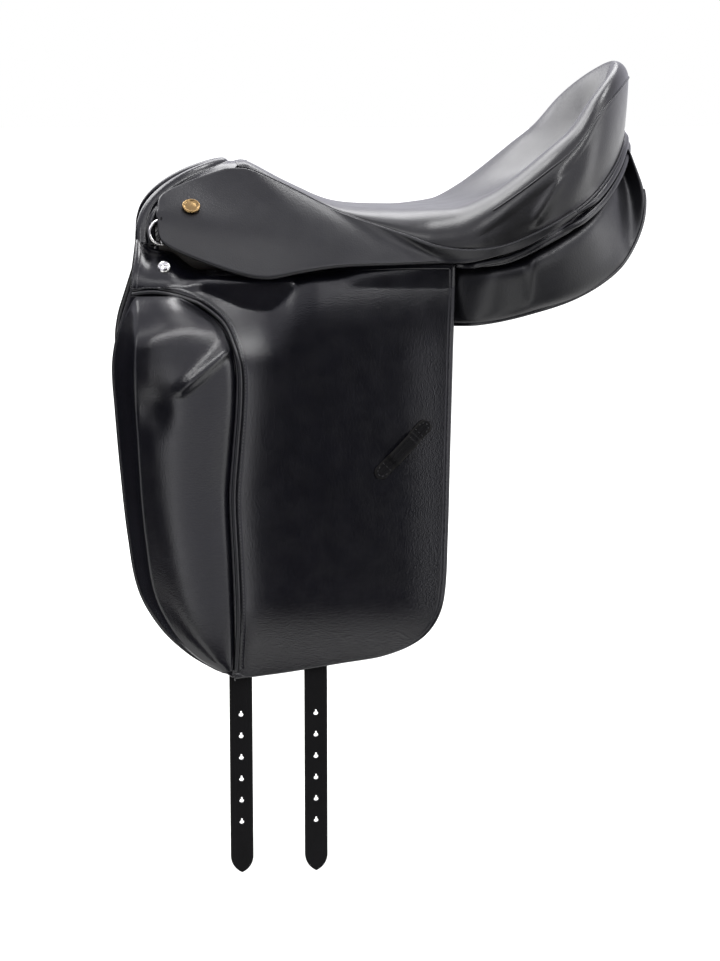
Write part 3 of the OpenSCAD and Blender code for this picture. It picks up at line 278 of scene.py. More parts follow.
def tube(path, radius, sides=14):
    """Round cord: a circle carried along the path; the ends close in a half ball."""
    t = unit(np.gradient(path, axis=0))
    caps = np.radians([75, 50, 25])
    head = path[0] - t[0] * (radius * np.sin(caps))[:, None]
    tail = path[-1] + t[-1] * (radius * np.sin(caps[::-1]))[:, None]
    middle = np.full(len(path), radius)
    r = np.concatenate([radius * np.cos(caps), middle, radius * np.cos(caps[::-1])])[:, None, None]
    path = np.concatenate([head, path, tail])
    t = unit(np.gradient(path, axis=0))
    u = unit(CROSS_HINT - np.sum(CROSS_HINT * t, axis=1, keepdims=True) * t)
    return loft(path[:, None] + r * circle(sides, u[:, None], np.cross(t, u)[:, None]))


def lathe(profile, centre, axis, sides=48):
    """Turned body: a profile of (radius, height) carried round an axis."""
    u = unit(np.cross(axis, CROSS_HINT))
    r, h = np.array(profile).T[:, :, None, None]
    return loft(centre + h * axis + r * circle(sides, u, np.cross(axis, u)))


def stitches(path, up):
    """A row of stitches: small spindles along the path, lifted half out of the leather along up."""
    run = resampled(np.concatenate([path, up], axis=1), STITCH_PITCH)
    p, n = run[:, :3], unit(run[:, 3:])
    t = unit(np.gradient(p, axis=0))
    w = np.cross(t, n)
    at, r, dip = (STITCH_SHAPE * (STITCH_L, STITCH_R, STITCH_R)).T[:, None, :, None, None]
    a = np.linspace(0, 2 * np.pi, 6, endpoint=False)[None, None, :, None]
    along, across, rise = (v[:, None, None, :] for v in (t, w, n))
    spindles = p[:, None, None, :] + at * along + r * np.cos(a) * across + (r * np.sin(a) + dip) * rise
    caps = np.array([[5, 4, 1, 0], [4, 3, 2, 1], [24, 25, 28, 29], [25, 26, 27, 28]])
    one = np.concatenate([quads(5, 6, wrap=True), caps])
    faces = one[None] + 5 * 6 * np.arange(len(p))[:, None, None]
    return spindles.reshape(-1, 3), faces.reshape(-1, 4), None


def joined(*bodies):
    """Several bodies as one set of points and faces."""
    points, faces, start = [], [], 0
    for p, f, _ in bodies:
        points.append(p)
        faces.append(f + start)
        start += len(p)
    return np.concatenate(points), np.concatenate(faces), None


def in_scene(name, data):
    """New object in the scene."""
    made = bpy.data.objects.new(name, data)
    bpy.context.scene.collection.objects.link(made)
    return made


def piece(name, body, finish, rides="saddle", stands_for=(), side=1.0):
    """Object from points and faces: doubles merged, faces turned outwards, smooth, riding on a CAD body."""
    points, faces, edge = body
    mesh = bpy.data.meshes.new(name)
    mesh.from_pydata((points * (1.0, side, 1.0) * MM).tolist(), [], faces.tolist())
    if edge is not None:
        mesh.attributes.new("edge", "FLOAT", "POINT").data.foreach_set("value", edge.astype(np.float32))
    work = bmesh.new()
    work.from_mesh(mesh)
    bmesh.ops.remove_doubles(work, verts=work.verts, dist=2e-6)
    bmesh.ops.dissolve_degenerate(work, edges=work.edges, dist=1e-7)
    bmesh.ops.recalc_face_normals(work, faces=work.faces)
    work.to_mesh(mesh)
    work.free()
    mesh.polygons.foreach_set("use_smooth", np.ones(len(mesh.polygons), bool))
    mesh.materials.append(finish)
    made = in_scene(name, mesh)
    if rides:
        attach(made, rides)
    if stands_for:
        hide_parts(*stands_for)
    return made


def pair(name, body, finish, rides="saddle", stands_for=()):
    """Left and right piece of one body; the moving body and the nodes are named without their side."""
    made = {}
    for suffix, side in SIDES.items():
        carrier = rides if rides in (None, "saddle") else f"{rides}_{suffix}"
        nodes = [f"{node}_{suffix}" for node in stands_for]
        made[suffix] = piece(f"{name}_{suffix}", body, finish, carrier, nodes, side)
    return made


def soft_edges(obj, width, angle):
    """Live bevel of edges sharper than angle, in degrees."""
    soft = obj.modifiers.new("soft_edges", "BEVEL")
    soft.width = width * MM
    soft.segments = 2
    soft.limit_method = "ANGLE"
    soft.angle_limit = math.radians(angle)


# Materials

class Finish:
    """A material and its nodes: each call adds a node and links what it reads."""

    def __init__(self, name):
        self.material = bpy.data.materials.new(name)
        self.material.use_nodes = True
        self.tree = self.material.node_tree
        self.shader = self.tree.nodes["Principled BSDF"]
        self.place = self.tree.nodes.new("ShaderNodeTexCoord").outputs["Object"]

    def put(self, socket, value):
        if isinstance(value, bpy.types.NodeSocket):
            self.tree.links.new(value, socket)
        else:
            socket.default_value = value

    def node(self, kind, inputs, **settings):
        made = self.tree.nodes.new(kind)
        for key, value in settings.items():
            setattr(made, key, value)
        for key, value in inputs.items():
            self.put(made.inputs[key], value)
        return made

    def noise(self, scale, detail=3.0, rough=0.55):
        inputs = {"Vector": self.place, "Scale": scale, "Detail": detail, "Roughness": rough}
        return self.node("ShaderNodeTexNoise", inputs).outputs["Fac"]

    def cells(self, scale):
        inputs = {"Vector": self.place, "Scale": scale}
        return self.node("ShaderNodeTexVoronoi", inputs, feature="SMOOTH_F1").outputs["Distance"]

    def wave(self, way, scale, distortion=0.0):
        inputs = {"Vector": self.place, "Scale": scale, "Distortion": distortion}
        return self.node("ShaderNodeTexWave", inputs, bands_direction=way).outputs["Fac"]

    def math(self, operation, a, b):
        return self.node("ShaderNodeMath", {0: a, 1: b}, operation=operation).outputs[0]

    def span(self, value, low, high, to_low=0.0, to_high=1.0):
        inputs = {"Value": value, "From Min": low, "From Max": high, "To Min": to_low, "To Max": to_high}
        return self.node("ShaderNodeMapRange", inputs, interpolation_type="SMOOTHSTEP").outputs["Result"]

    def mix(self, factor, a, b):
        made = self.node("ShaderNodeMix", {"Factor": factor}, data_type="RGBA")
        for key, value in ((6, a), (7, b)):
            read = isinstance(value, bpy.types.NodeSocket)
            self.put(made.inputs[key], value if read else (*value, 1.0))
        return made.outputs[2]

    def bump(self, height, distance, strength, under=None):
        inputs = {"Height": height, "Distance": distance, "Strength": strength}
        if under is not None:
            inputs["Normal"] = under
        return self.node("ShaderNodeBump", inputs).outputs["Normal"]

    def set(self, **sockets):
        for key, value in sockets.items():
            self.put(self.shader.inputs[key.replace("_", " ")], value)
        return self.material


BLACK = (0.0013, 0.0013, 0.0024)
RUBBED = (0.006, 0.006, 0.007)


def leather_finish(name, dark, rough, grain, worn=RUBBED, creased=False, shine=0.5):
    """Dyed leather: pebbled pores and fine creases as bump, uneven polish, and paler wear along the edges."""
    f = Finish(name)
    patches = f.noise(40.0, 4.0)
    pores = f.cells(grain)
    creases = f.noise(grain * 0.35, 5.0, 0.6)
    height = f.math("ADD", f.math("MULTIPLY", pores, 0.6), f.math("MULTIPLY", creases, 0.5))
    normal = f.bump(height, 0.00035, 0.35)
    colour = f.mix(f.span(patches, 0.3, 0.72), dark, [1.35 * c for c in dark])
    if creased:
        edge = f.node("ShaderNodeAttribute", {}, attribute_name="edge").outputs["Fac"]
        groove = f.math("MULTIPLY", f.span(edge, 3.2, 4.0), f.span(edge, 4.8, 4.0))
        normal = f.bump(f.math("SUBTRACT", 1.0, groove), 0.0006, 0.6, normal)
        rub = f.math("MULTIPLY", f.span(edge, 2.2, 0.2), f.span(f.noise(90.0), 0.25, 0.75, 0.45, 1.0))
        colour = f.mix(rub, colour, worn)
    polish = f.span(f.noise(60.0, 3.0), 0.3, 0.7, rough - 0.02, rough + 0.02)
    return f.set(Base_Color=colour, Roughness=polish, Normal=normal, Specular_IOR_Level=shine)


def metal_finish(name, colour, rough, brushed=0.0):
    """Metal with fine scratches and a slightly uneven polish."""
    f = Finish(name)
    smudge = f.span(f.noise(70.0, 4.0), 0.3, 0.7, rough * 0.8, rough * 1.3)
    scratch = f.bump(f.noise(1800.0, 2.0), 0.00004, 0.2 + brushed)
    tint = f.mix(f.span(f.noise(40.0), 0.35, 0.7), colour, [0.9 * c for c in colour])
    return f.set(Base_Color=tint, Metallic=1.0, Roughness=smudge, Normal=scratch)


def web_finish(name, pale, shade):
    """Woven webbing: over and under threads as two crossing waves."""
    f = Finish(name)
    weave = f.math("MULTIPLY", f.wave("X", 260.0), f.wave("Y", 260.0))
    return f.set(Base_Color=f.mix(weave, shade, pale), Roughness=0.85, Normal=f.bump(weave, 0.0006, 0.6))


def wood_finish(name, pale, shade):
    """Laminated beech: thin plies across the thickness and streaks along the grain."""
    f = Finish(name)
    plies = f.math("MULTIPLY", f.wave("Z", 90.0, 1.5), 0.5)
    tone = f.math("ADD", plies, f.math("MULTIPLY", f.noise(45.0, 6.0), 0.5))
    return f.set(Base_Color=f.mix(tone, shade, pale), Roughness=0.55, Normal=f.bump(tone, 0.0003, 0.4))


leather = leather_finish("black_leather", BLACK, 0.22, 900.0, creased=True)
skirt_leather = leather_finish("skirt_leather", (0.0030, 0.0030, 0.0040), 0.33, 900.0, shine=0.42)
seat_leather = leather_finish("seat_leather", (0.0042, 0.0041, 0.0044), 0.30, 700.0)
block_leather = leather_finish("block_leather", BLACK, 0.24, 800.0)
panel_leather = leather_finish("panel_leather", BLACK, 0.38, 650.0)
piping_leather = leather_finish("piping_leather", BLACK, 0.30, 1100.0)
strap_leather = leather_finish("strap_leather", (0.0022, 0.0021, 0.0025), 0.5, 1000.0, (0.008, 0.0075, 0.007),
                               creased=True, shine=0.09)
thread = leather_finish("waxed_thread", (0.006, 0.006, 0.007), 0.5, 2500.0)
lining = leather_finish("channel_lining_leather", (0.02, 0.02, 0.021), 0.6, 600.0)
nickel = metal_finish("polished_nickel", (0.72, 0.71, 0.69), 0.16)
steel = metal_finish("forged_steel", (0.50, 0.50, 0.51), 0.34, 0.3)
gilt = metal_finish("gilt", (0.31, 0.205, 0.09), 0.28)
copper = metal_finish("copper_rivet", (0.72, 0.42, 0.28), 0.30)
webbing = web_finish("webbing", (0.62, 0.57, 0.48), (0.36, 0.33, 0.27))
beech = wood_finish("lacquered_beech", (0.020, 0.014, 0.010), (0.010, 0.008, 0.006))


# Seat

FRONT_RISE = POMMEL_Z - 6.5 - SEAM_LOW
BACK_RISE = SEAM_BACK - SEAM_LOW
SPINE_RISE = 0.57 * (CANTLE_Z - SEAT_Z)
SEAM_FRONT = [(0.18, -0.679, 0.356, 0.757), (0.30, -0.409, 0.483, 0.457), (0.42, -0.069, 0.671, 0.186)]
SEAM_REAR = [(0.57, 0.182, 0.872, 0), (0.64, 0.294, 0.953, 0.012), (0.71, 0.411, 1, 0.067),
             (0.78, 0.575, 1, 0.231), (0.84, 0.687, 0.946, 0.356), (0.90, 0.795, 0.815, 0.520),
             (0.95, 0.895, 0.580, 0.725), (0.98, 0.968, 0.290, 0.910), (1.00, 1, 0, 1),
             (1.02, 0.968, -0.290, 0.910)]
SEAM = [(0, (-0.987 * POMMEL_X, POMMEL_HALF_W, SEAM_LOW + 1.03 * FRONT_RISE)),
        (0.08, (-0.912 * POMMEL_X, POMMEL_HALF_W + 5, SEAM_LOW + FRONT_RISE))]
SEAM += [(s, (x * POMMEL_X, y * SEAT_HALF_W, SEAM_LOW + z * FRONT_RISE)) for s, x, y, z in SEAM_FRONT]
SEAM += [(0.50, (0.065 * CANTLE_X, 0.772 * SEAT_HALF_W, SEAM_LOW + 0.043 * FRONT_RISE))]
SEAM += [(s, (x * CANTLE_X, y * SEAT_HALF_W, SEAM_LOW + z * BACK_RISE)) for s, x, y, z in SEAM_REAR]
SPINE_FRONT = [(0.18, -0.667, 0.506), (0.30, -0.390, 0.092), (0.42, -0.063, 0)]
SPINE_REAR = [(0.50, 0.103, 0.006), (0.57, 0.234, 0.038), (0.64, 0.364, 0.115), (0.71, 0.477, 0.230),
              (0.78, 0.579, 0.370), (0.84, 0.664, 0.526), (0.90, 0.738, 0.690), (0.95, 0.794, 0.846),
              (1.00, 0.841, 1)]
SPINE = [(0, (-POMMEL_X, POMMEL_Z)), (0.08, (-0.925 * POMMEL_X, POMMEL_Z - 1))]
SPINE += [(s, (x * POMMEL_X, SEAT_Z + z * (POMMEL_Z - SEAT_Z))) for s, x, z in SPINE_FRONT]
SPINE += [(s, (x * CANTLE_X, SEAT_Z + z * SPINE_RISE)) for s, x, z in SPINE_REAR]
CREST = [(0.50, 44.5), (0.57, 47), (0.64, 58), (0.71, 74.5), (0.78, 100), (0.84, 119), (0.90, 146),
         (0.95, 166), (0.98, 177.5), (1.00, 181), (1.02, 177.5)]
ROUND_IN = [(0, 20), (0.18, 32), (0.30, 45), (0.42, 62), (0.50, 54), (0.57, 44), (0.64, 39), (0.71, 36),
            (0.78, 34), (0.84, 31), (0.90, 26), (0.96, 18), (1, 13)]
ROUND_DOWN = [(0, 30), (0.50, 31), (0.60, 32), (0.71, 30), (0.84, 27), (0.92, 22), (1, 16)]
EDGE = [(0, 16), (0.30, 14), (0.42, 7), (0.57, 1), (1, 1)]
PULL_TOP, PULL_LOW, PULL_H, PULL_WIDTH = (135, 82), (104, 33), 2.4, 5.5
DISH_COLUMNS, RIM_COLUMNS, WALL_COLUMNS, SIDE_COLUMN = 44, 30, 34, 62
DISH_POWER, WALL_FULL, WALL_LEAN, BACK_LEAN = 1.25, 0.045, 4, 1.9
RIM_SEAM_DROP = 15.0
WELT_TUCK, WELT_END_IN, WELT_END_DOWN = WELT_R + 0.6, 5, 2.5
CANTLE_STRIP_T, CANTLE_STRIP_DROP, CANTLE_STRIP_TUCK = 1.6, 15.5, 9


def crest_z(s):
    """Height of the seat's rim along the seat: the spine's height in front, a crest curve behind."""
    spine = curve(SPINE, s)[..., 1]
    return np.where(s <= 0.50, spine, np.maximum(spine, curve(CREST, s)))


def wall_lean(s):
    """How far the wall's top stands inside the seam: a little at the sides, outside it behind the cantle."""
    return WALL_LEAN * ease(0.58, 0.72, s) * (1 - BACK_LEAN * ease(0.88, 1, s))


def seat_line(s):
    """Cross line at s: its width, crest height and seam height, and the rim's round across and down."""
    p, q = curve(SPINE, s), curve(SEAM, s)
    width = np.hypot(q[..., 0] - p[..., 0], q[..., 1]) - wall_lean(s)
    crest, seam = crest_z(s), q[..., 2]
    across = np.minimum(curve(ROUND_IN, s), 0.8 * width)
    return width, crest, seam, across, np.minimum(curve(ROUND_DOWN, s), np.maximum(crest - seam, 0.5))


def seat_place(s, reach, z):
    """Points at a plan distance from the spine along the cross line of s."""
    p, q = curve(SPINE, s), curve(SEAM, s)
    d = unit(np.stack([q[..., 0] - p[..., 0], q[..., 1]], axis=-1))
    return xyz(p[..., 0] + reach * d[..., 0], reach * d[..., 1], z)


def seat_top(s):
    """Seat across: a dish from spine to crest, a quarter ellipse over the rim, and a slightly full wall."""
    width, crest, seam, across, down = seat_line(s)
    spine = curve(SPINE, s)[..., 1]
    u = np.linspace(0, 1, DISH_COLUMNS)[None, :-1]
    rise = u ** DISH_POWER
    dish = seat_place(s, u * (width - across), spine + (crest - spine) * rise * rise * (3 - 2 * rise))
    turn = np.linspace(0, np.pi / 2, RIM_COLUMNS)[None, :-1]
    rim = seat_place(s, width - across + across * np.sin(turn), crest - down + down * np.cos(turn))
    f = np.linspace(0, 1, WALL_COLUMNS)[None, :]
    high = np.maximum(crest - down - seam, 0)
    full = WALL_FULL * (1 - ease(0.85, 1, s))
    fullness = full * high * np.sin(np.pi * np.minimum(1, 1.15 * f)) + wall_lean(s) * f ** 1.5
    wall = seat_place(s, width + fullness, seam + high * (1 - f))
    return np.concatenate([dish, rim, wall], axis=1)


def deck(s, a):
    """Underside of the padding: from the spine (a = 0) to the seam (a = 1), a parabola across."""
    p, q = curve(SPINE, s), curve(SEAM, s)
    z = (p[..., 1] - DECK_DEPTH) * (1 - a * a) + (q[..., 2] - curve(EDGE, s)) * a * a
    return xyz(p[..., 0] + a * (q[..., 0] - p[..., 0]), a * q[..., 1], z)


def seat_body():
    """Seat cushion: the padded top with a soft pull crease in its side, closed underneath by the deck."""
    s = spread((0, 0.6, 60), (0.605, 0.9, 80), (0.903, 1, 60))[:, None]
    top = seat_top(s)
    beside = np.arange(top.shape[1])[None, :] > SIDE_COLUMN
    far, f = line_distance(top[..., 0], top[..., 2], PULL_TOP, PULL_LOW)
    pull = PULL_H * bell(far, PULL_WIDTH) * ease(-0.1, 0.25, f) * ease(1.1, 0.8, f) * beside
    top = top + pull[..., None] * normals(top, axis=2)
    under = deck(s, np.linspace(1, 0, 16)[None, :])
    half = np.concatenate([top, under], axis=1)
    rings = np.concatenate([half, half[:, ::-1] * (1, -1, 1)], axis=1)
    return rolled(np.concatenate([end_cap(rings[0]), rings]))


def rim_seam_path(drop):
    """Line on the seat's side, a given drop below the crest, from the waist round the back of the cantle."""
    s = spread((0.66, 0.9, 80), (0.903, 1, 60))
    width, crest, _, across, down = seat_line(s)
    turn = np.arccos(np.clip(1 - drop / down, 0, 1))
    return mirrored_path(seat_place(s, width - across + across * np.sin(turn) + 0.2, crest - drop))


def seam_line(s, out, down):
    """Line beside the seat's seam: out square to it in plan, and down from it."""
    q = curve(SEAM, s)
    e = curve(SEAM, np.minimum(s + 0.004, 1.02)) - curve(SEAM, s - 0.004)
    n = unit(np.stack([e[:, 1], -e[:, 0]], axis=1))
    n = np.where((np.sum(n * q[:, :2], axis=1) < 0)[:, None], -n, n)
    return xyz(q[:, 0] + out * n[:, 0], q[:, 1] + out * n[:, 1], q[:, 2] - down)


def welt_path(down, out, start):
    """Cantle welt: tucked under the seam at its front, and standing out behind start."""
    s = spread((0.565, 0.86, 56), (0.864, 1, 60))
    reach = -WELT_TUCK + (out + WELT_TUCK) * ease(start, start + 0.05, s)
    reach = reach - WELT_END_IN * ease(0.62, 0.575, s)
    return mirrored_path(seam_line(s, reach, down + WELT_END_DOWN * ease(0.66, 0.58, s)))


def cantle_strip_body():
    """Band of leather behind the welts, from the seat's seam to the panel; its front end is tucked under."""
    s = spread((0.58, 0.86, 60), (0.864, 1, 60))
    tuck = CANTLE_STRIP_TUCK * ease(0.76, 0.62, s)
    lines = [seam_line(s, -2.2 + 1.6 * f - tuck, 0.5 + CANTLE_STRIP_DROP * f) for f in np.linspace(0, 1, 8)]
    return leather_sheet(np.stack([mirrored_path(line) for line in lines], axis=1), CANTLE_STRIP_T)


seat = piece("seat", seat_body(), seat_leather, stands_for=("seat_cover", "seat_foam"))
for level, line in (("upper", welt_path(WELT_R + 1.6, 1.5, 0.84)),
                    ("lower", welt_path(3 * WELT_R + 2.5, 3.5, 0.80))):
    piece(f"cantle_welt_{level}_leather", tube(line, WELT_R), piping_leather,
          stands_for=(f"cantle_welt_{level}",))
piece("rim_piping", tube(rim_seam_path(RIM_SEAM_DROP), RIM_PIPING_R, sides=8), piping_leather)
piece("cantle_strip", cantle_strip_body(), leather)
seam_path = mirrored_path(seam_line(spread((0.04, 0.86, 160), (0.864, 1, 70)), 0.6, 0.2))
piece("seat_seam_piping", tube(seam_path, SEAM_PIPING_R, sides=8), piping_leather)


# Pommel

POMMEL = moved([(-0.16, (-24, -18, -7)), (0, (-12, 0, -4)), (0.16, (-24, 18, -7)), (0.36, (-47, 36, -16)),
                (0.54, (-68, 48, -29)), (0.68, (-81, 58, -43)), (0.82, (-87, 68, -59)),
                (0.94, (-88, 77, -77)), (1, (-88, 82, -86))], (-POMMEL_X, 0, POMMEL_Z))
FACING = moved([(-0.2, (-20, -15, -8)), (0, (-9, 0, -7)), (0.2, (-20, 15, -8)), (0.42, (-42, 28, -14)),
                (0.62, (-64, 39, -26)), (0.82, (-79, 48, -40)), (1, (-84, 58, -58))],
               (-POMMEL_X, 0, ARCH_Z))
STRIP_END = [(-0.16, (-150, -27, 81.8)), (0, (-147, 0, 86.0)), (0.16, (-150, 27, 81.8)),
             (0.26, (-172, 34.5, 75.5)), (0.36, (-192, 43, 69)), (0.54, (-212, 52, 58)),
             (0.68, (-226, 61, 49)), (0.82, (-234.5, 71, 38)), (0.94, (-234.5, 74, 20)),
             (1, (-234.5, 74.5, 8))]
STRIP_COLUMNS, STRIP_START, STRIP_WELT_COLUMN = 14, 6.2, 9
STRIP_ROOT, STRIP_TOP_END, STRIP_LOW_END, STRIP_CREASE = 3.2, 2.0, 1.0, 0.5
STITCHED_ROWS = (9, 13, -10, -14)
FACING_T = 2.5


def pommel_body():
    """Pommel cover: a roll along the edge, a strip of leather behind it, one profile carried side to side."""
    t = np.linspace(0.93, 0, 110)
    path = mirrored_path(curve(POMMEL, t))
    end = mirrored_path(curve(STRIP_END, t))
    tangent = unit(np.gradient(path, axis=0))
    back = end - path
    back = back - np.sum(back * tangent, axis=1, keepdims=True) * tangent
    reach = np.linalg.norm(back, axis=1, keepdims=True)
    u = back / reach
    w = np.cross(tangent, u)
    beside = 0.4 * np.abs(path[:, 1:2]) / 80 * np.sign(path[:, 1:2])
    w = np.where(w[:, 2:] + beside * w[:, 1:2] < 0, -w, w)
    a = np.radians(np.linspace(32, 328, 24))[None, :, None]
    roll = path[:, None] + ROLL_R * (np.cos(a) * u[:, None] + np.sin(a) * w[:, None])
    f = np.linspace(0, 1, STRIP_COLUMNS)[None, :, None]
    crease = STRIP_CREASE * np.sin(np.linspace(0, 60, len(path)))[:, None, None] * np.sin(np.pi * f)
    strip = path[:, None] + ((1 - f) * STRIP_START + f * reach[:, None]) * u[:, None]
    upper = strip + (STRIP_ROOT * (1 - f) + STRIP_TOP_END * f + crease) * w[:, None]
    lower = strip - (STRIP_ROOT * (1 - f) + STRIP_LOW_END * f) * w[:, None]
    rings = np.concatenate([upper[:, ::-1], roll, lower], axis=1)
    return loft(rings), strip + (2.2 + crease) * w[:, None], np.repeat(w[:, None], STRIP_COLUMNS, axis=1)


def facing_body():
    """Facing behind the pommel's roll: straight lines from the roll to the arch, as a thin sheet."""
    t = np.linspace(0.86, 0, 60)
    p, q = mirrored_path(curve(POMMEL, t)), mirrored_path(curve(FACING, t))
    d = unit(q - p)
    length = np.linalg.norm(q - p, axis=1)[:, None, None]
    f = np.linspace(0, 1, 14)[None, :, None]
    mid = p[:, None] + d[:, None] * (ROLL_R + 0.6 + f * (length - ROLL_R))
    return leather_sheet(mid + FACING_T / 2 * normals(mid), FACING_T)


cover, strip_top, strip_up = pommel_body()
piece("pommel_cover", cover, block_leather, stands_for=("pommel_roll",))
for name, half in (("right", slice(14, 90)), ("left", slice(-90, -14))):
    line = strip_top[half, STRIP_WELT_COLUMN] + 0.4 * strip_up[half, STRIP_WELT_COLUMN]
    piece(f"pommel_welt_{name}", tube(line, POMMEL_WELT_R), piping_leather)
rows = [stitches(strip_top[k, 1:13], strip_up[k, 1:13]) for k in STITCHED_ROWS]
piece("pommel_stitches", joined(*rows), thread)
piece("pommel_facing_leather", facing_body(), leather, stands_for=("pommel_facing",))


# Panels

CORNER_A = [(-236, (46, 30)), (-200, (38, 36))]
CORNER_A += moved([(-150, (4, 30)), (-100, (0, 14)), (-50, (0, 0)), (0, (0, -4)), (50, (0, -2)),
                   (100, (1, 8)), (150, (3, 38)), (190, (3, 70)), (TAIL_X, (3, 112))], (CHANNEL_HALF_W, 0))
CORNER_B = [(-236, (56, 24)), (-200, (54, 26)), (-150, (50, 20)), (-100, (56, 10)), (-50, (68, 2)),
            (-20, (0.60 * SEAT_HALF_W, -2)), (20, (0.66 * SEAT_HALF_W, -6)), (45, (0.77 * SEAT_HALF_W, -6)),
            (70, (0.93 * SEAT_HALF_W, -2)), (100, (0.98 * SEAT_HALF_W, 7))]
BEHIND = curve(SEAM, np.linspace(0.745, 0.985, 9)) + (0, 1.5, -3.6 * WELT_R - 3.0)
CORNER_B += [(x, (y, z)) for x, y, z in BEHIND] + [(TAIL_X, (50, 112))]
CORNER_C = [(-236, (86, -66)), (-200, (88, -72)), (-100, (88, -74)), (-20, (92, -72)), (30, (100, -68)),
            (60, (124, -65)), (100, (136, -56)), (150, (133, -42)), (190, (122, -20)), (TAIL_X, (106, 14))]
CORNER_D = [(-236, (66, -52)), (-200, (58, -36)), (-150, (46, -20)), (-100, (38, -22)), (-50, (34, -30)),
            (0, (32, -38)), (50, (32, -42)), (100, (34, -36)), (150, (38, -12)), (190, (42, 18)),
            (TAIL_X, (44, 48))]
NOSE_X, NOSE_LONG, NOSE_POWER = -206, 34, 2.4
TAIL_TURN_X, TAIL_ROWS_X, TAIL_POWER, TAIL_LEAN = 172, 176, 4.2, 13
LUMP_H = 0.6
CORNER_POWER = 0.48
PIPING_ANGLE = np.radians(318)


def squared(wave):
    """Sine or cosine pushed out towards 1 and -1, which squares a circle."""
    return (np.sign(wave) * np.abs(wave) ** CORNER_POWER)[..., None]


def blunt(f, power):
    """Width of a blunt end: 1 up to f = 0 and, round a curve of the given power, 0 at f = 1."""
    return (1 - np.clip(f, 0, 1) ** power) ** (1 / power)


def panel_ring(x, angle):
    """Panel: between four corner lines along X, a squared circle across, drawn in to blunt ends."""
    nose = blunt((NOSE_X - x) / NOSE_LONG, NOSE_POWER)
    tail = blunt((x - TAIL_TURN_X) / (TAIL_X - TAIL_TURN_X), TAIL_POWER)
    k = np.maximum(0.06, np.where(x < 0, nose, tail))[..., None]
    a, b, c, d = (curve(line, x) for line in (CORNER_A, CORNER_B, CORNER_C, CORNER_D))
    o = (a + b + c + d) / 4
    o = o + (0.35 * ease(140, 205, x))[..., None] * ((a + b) / 2 - o)
    u, w = squared(np.cos(angle)), squared(np.sin(angle))
    q = ((1 - u) * (1 + w) * a + (1 + u) * (1 + w) * b + (1 + u) * (1 - w) * c + (1 - u) * (1 - w) * d) / 4
    r = o + k * (q - o)
    lean = TAIL_LEAN * ease(52, 116, r[..., 1]) * ease(TAIL_ROWS_X, TAIL_X, x)
    return xyz(x - lean, r[..., 0], r[..., 1])


def tail_rows(turn):
    """Places along X that close in on the panel's tail, up to a turn in degrees."""
    return TAIL_ROWS_X + (TAIL_X - TAIL_ROWS_X) * np.sin(np.radians(np.linspace(4, turn, 30)))


def panel_body():
    """Panel cushion with a few shallow lumps of its wool."""
    nose = NOSE_X - 30 * np.cos(np.radians(np.linspace(0, 78, 20)))
    x = np.concatenate([nose, np.linspace(-196, 174, 110), tail_rows(90)])[:, None]
    angle = np.linspace(0, 2 * np.pi, 96, endpoint=False)[None, :]
    ring = panel_ring(x, angle)
    middle = ring.mean(axis=1, keepdims=True)
    lumps = LUMP_H * np.sin(x / 17.0 + 2 * np.sin(angle)) * np.sin(3 * angle + x / 41.0)
    return loft(ring + lumps[..., None] * unit(ring - middle))


def panel_piping_path():
    """Line along the panel's lower outer corner and up round its tail."""
    x = np.concatenate([np.linspace(30, 174, 60), tail_rows(84)])
    return panel_ring(x, np.full_like(x, PIPING_ANGLE))


for panel in pair("panel_cushion", panel_body(), panel_leather, stands_for=("panel",)).values():
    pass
pair("panel_piping", tube(panel_piping_path(), PANEL_PIPING_R, sides=8), piping_leather)


# Flaps

FRONT_EDGE = [(0, -0.935), (0.06, -0.960), (0.134, -0.989), (0.202, -1), (0.305, -0.993), (0.4615, -0.978),
              (0.6325, -0.956), (0.769, -0.924), (0.866, -0.855), (0.9345, -0.767), (0.977, -0.680),
              (1, -0.611)]
REAR_EDGE = [(0, 0), (0.091, -2), (0.231, -4), (0.439, -7), (0.647, -10), (0.803, -14), (0.872, -23),
             (0.920, -41), (0.954, -73), (0.969, -110), (0.989, -159), (1, -198)]
ARCH_V = ARCH_HALF_W + FLAP_T
ROOT_BACK = [(-0.85, (ARCH_V + 0.3, 9)), (-0.80, (ARCH_V + 0.3, 6)), (-0.76, (ARCH_V + 1, -2)),
             (-0.72, (88, -8)), (-0.37, (90, -8)), (-0.27, (98, -8)), (-0.18, (106, -6)), (0, (110, -4)),
             (0.14, (114, -4))]
ROOT_TOP = [(-0.935 * FLAP_FRONT, (79, 19)), (-249, (79.4, 15)), (-243, (79.7, 11))]
ROOT_TOP += [(x * FLAP_FRONT, point) for x, point in ROOT_BACK]
WELT = [(0.017, -0.77), (0.034, -0.727), (0.051, -0.691), (0.088, -0.636), (0.142, -0.604), (0.202, -0.585),
        (0.293, -0.585), (0.427, -0.600), (0.533, -0.611), (0.70, -0.604), (0.84, -0.600), (0.94, -0.607),
        (0.997, -0.611)]
SHADE_LINE = [(-232, -4), (-200, 2), (-182, 8), (-155, 19), (-132, 21), (-118, 11), (-105, -4), (-87, -15),
              (40, -20)]
BOW_X, SHADE_RUN, SHADE_DEPTH, SHADE_REAR = -110, 62, 9.5, 3.5
SWELL_H, SWELL_RUN, REAR_FALL, LOW_FALL = 5.6, 19, 1.6, 6.0
FLAP_ROUND_X = 6.5


def flap_plane(x, z):
    """Leaning, slightly bowed face of the flap without its relief."""
    return BEND_HALF_W + FLAP_LEAN * (BEND_Z - z) - FLAP_BOW * (x - BOW_X) ** 2


def flap_v(x, z):
    """Half width of the CAD flap's outer face: the leaning plane with a hollow under the skirt."""
    hollow = HOLLOW * ease(-228, -196, x) * (1 - ease(-96, -48, x))
    return flap_plane(x, z) - hollow * (1 - ease(0, 72, BEND_Z - z))


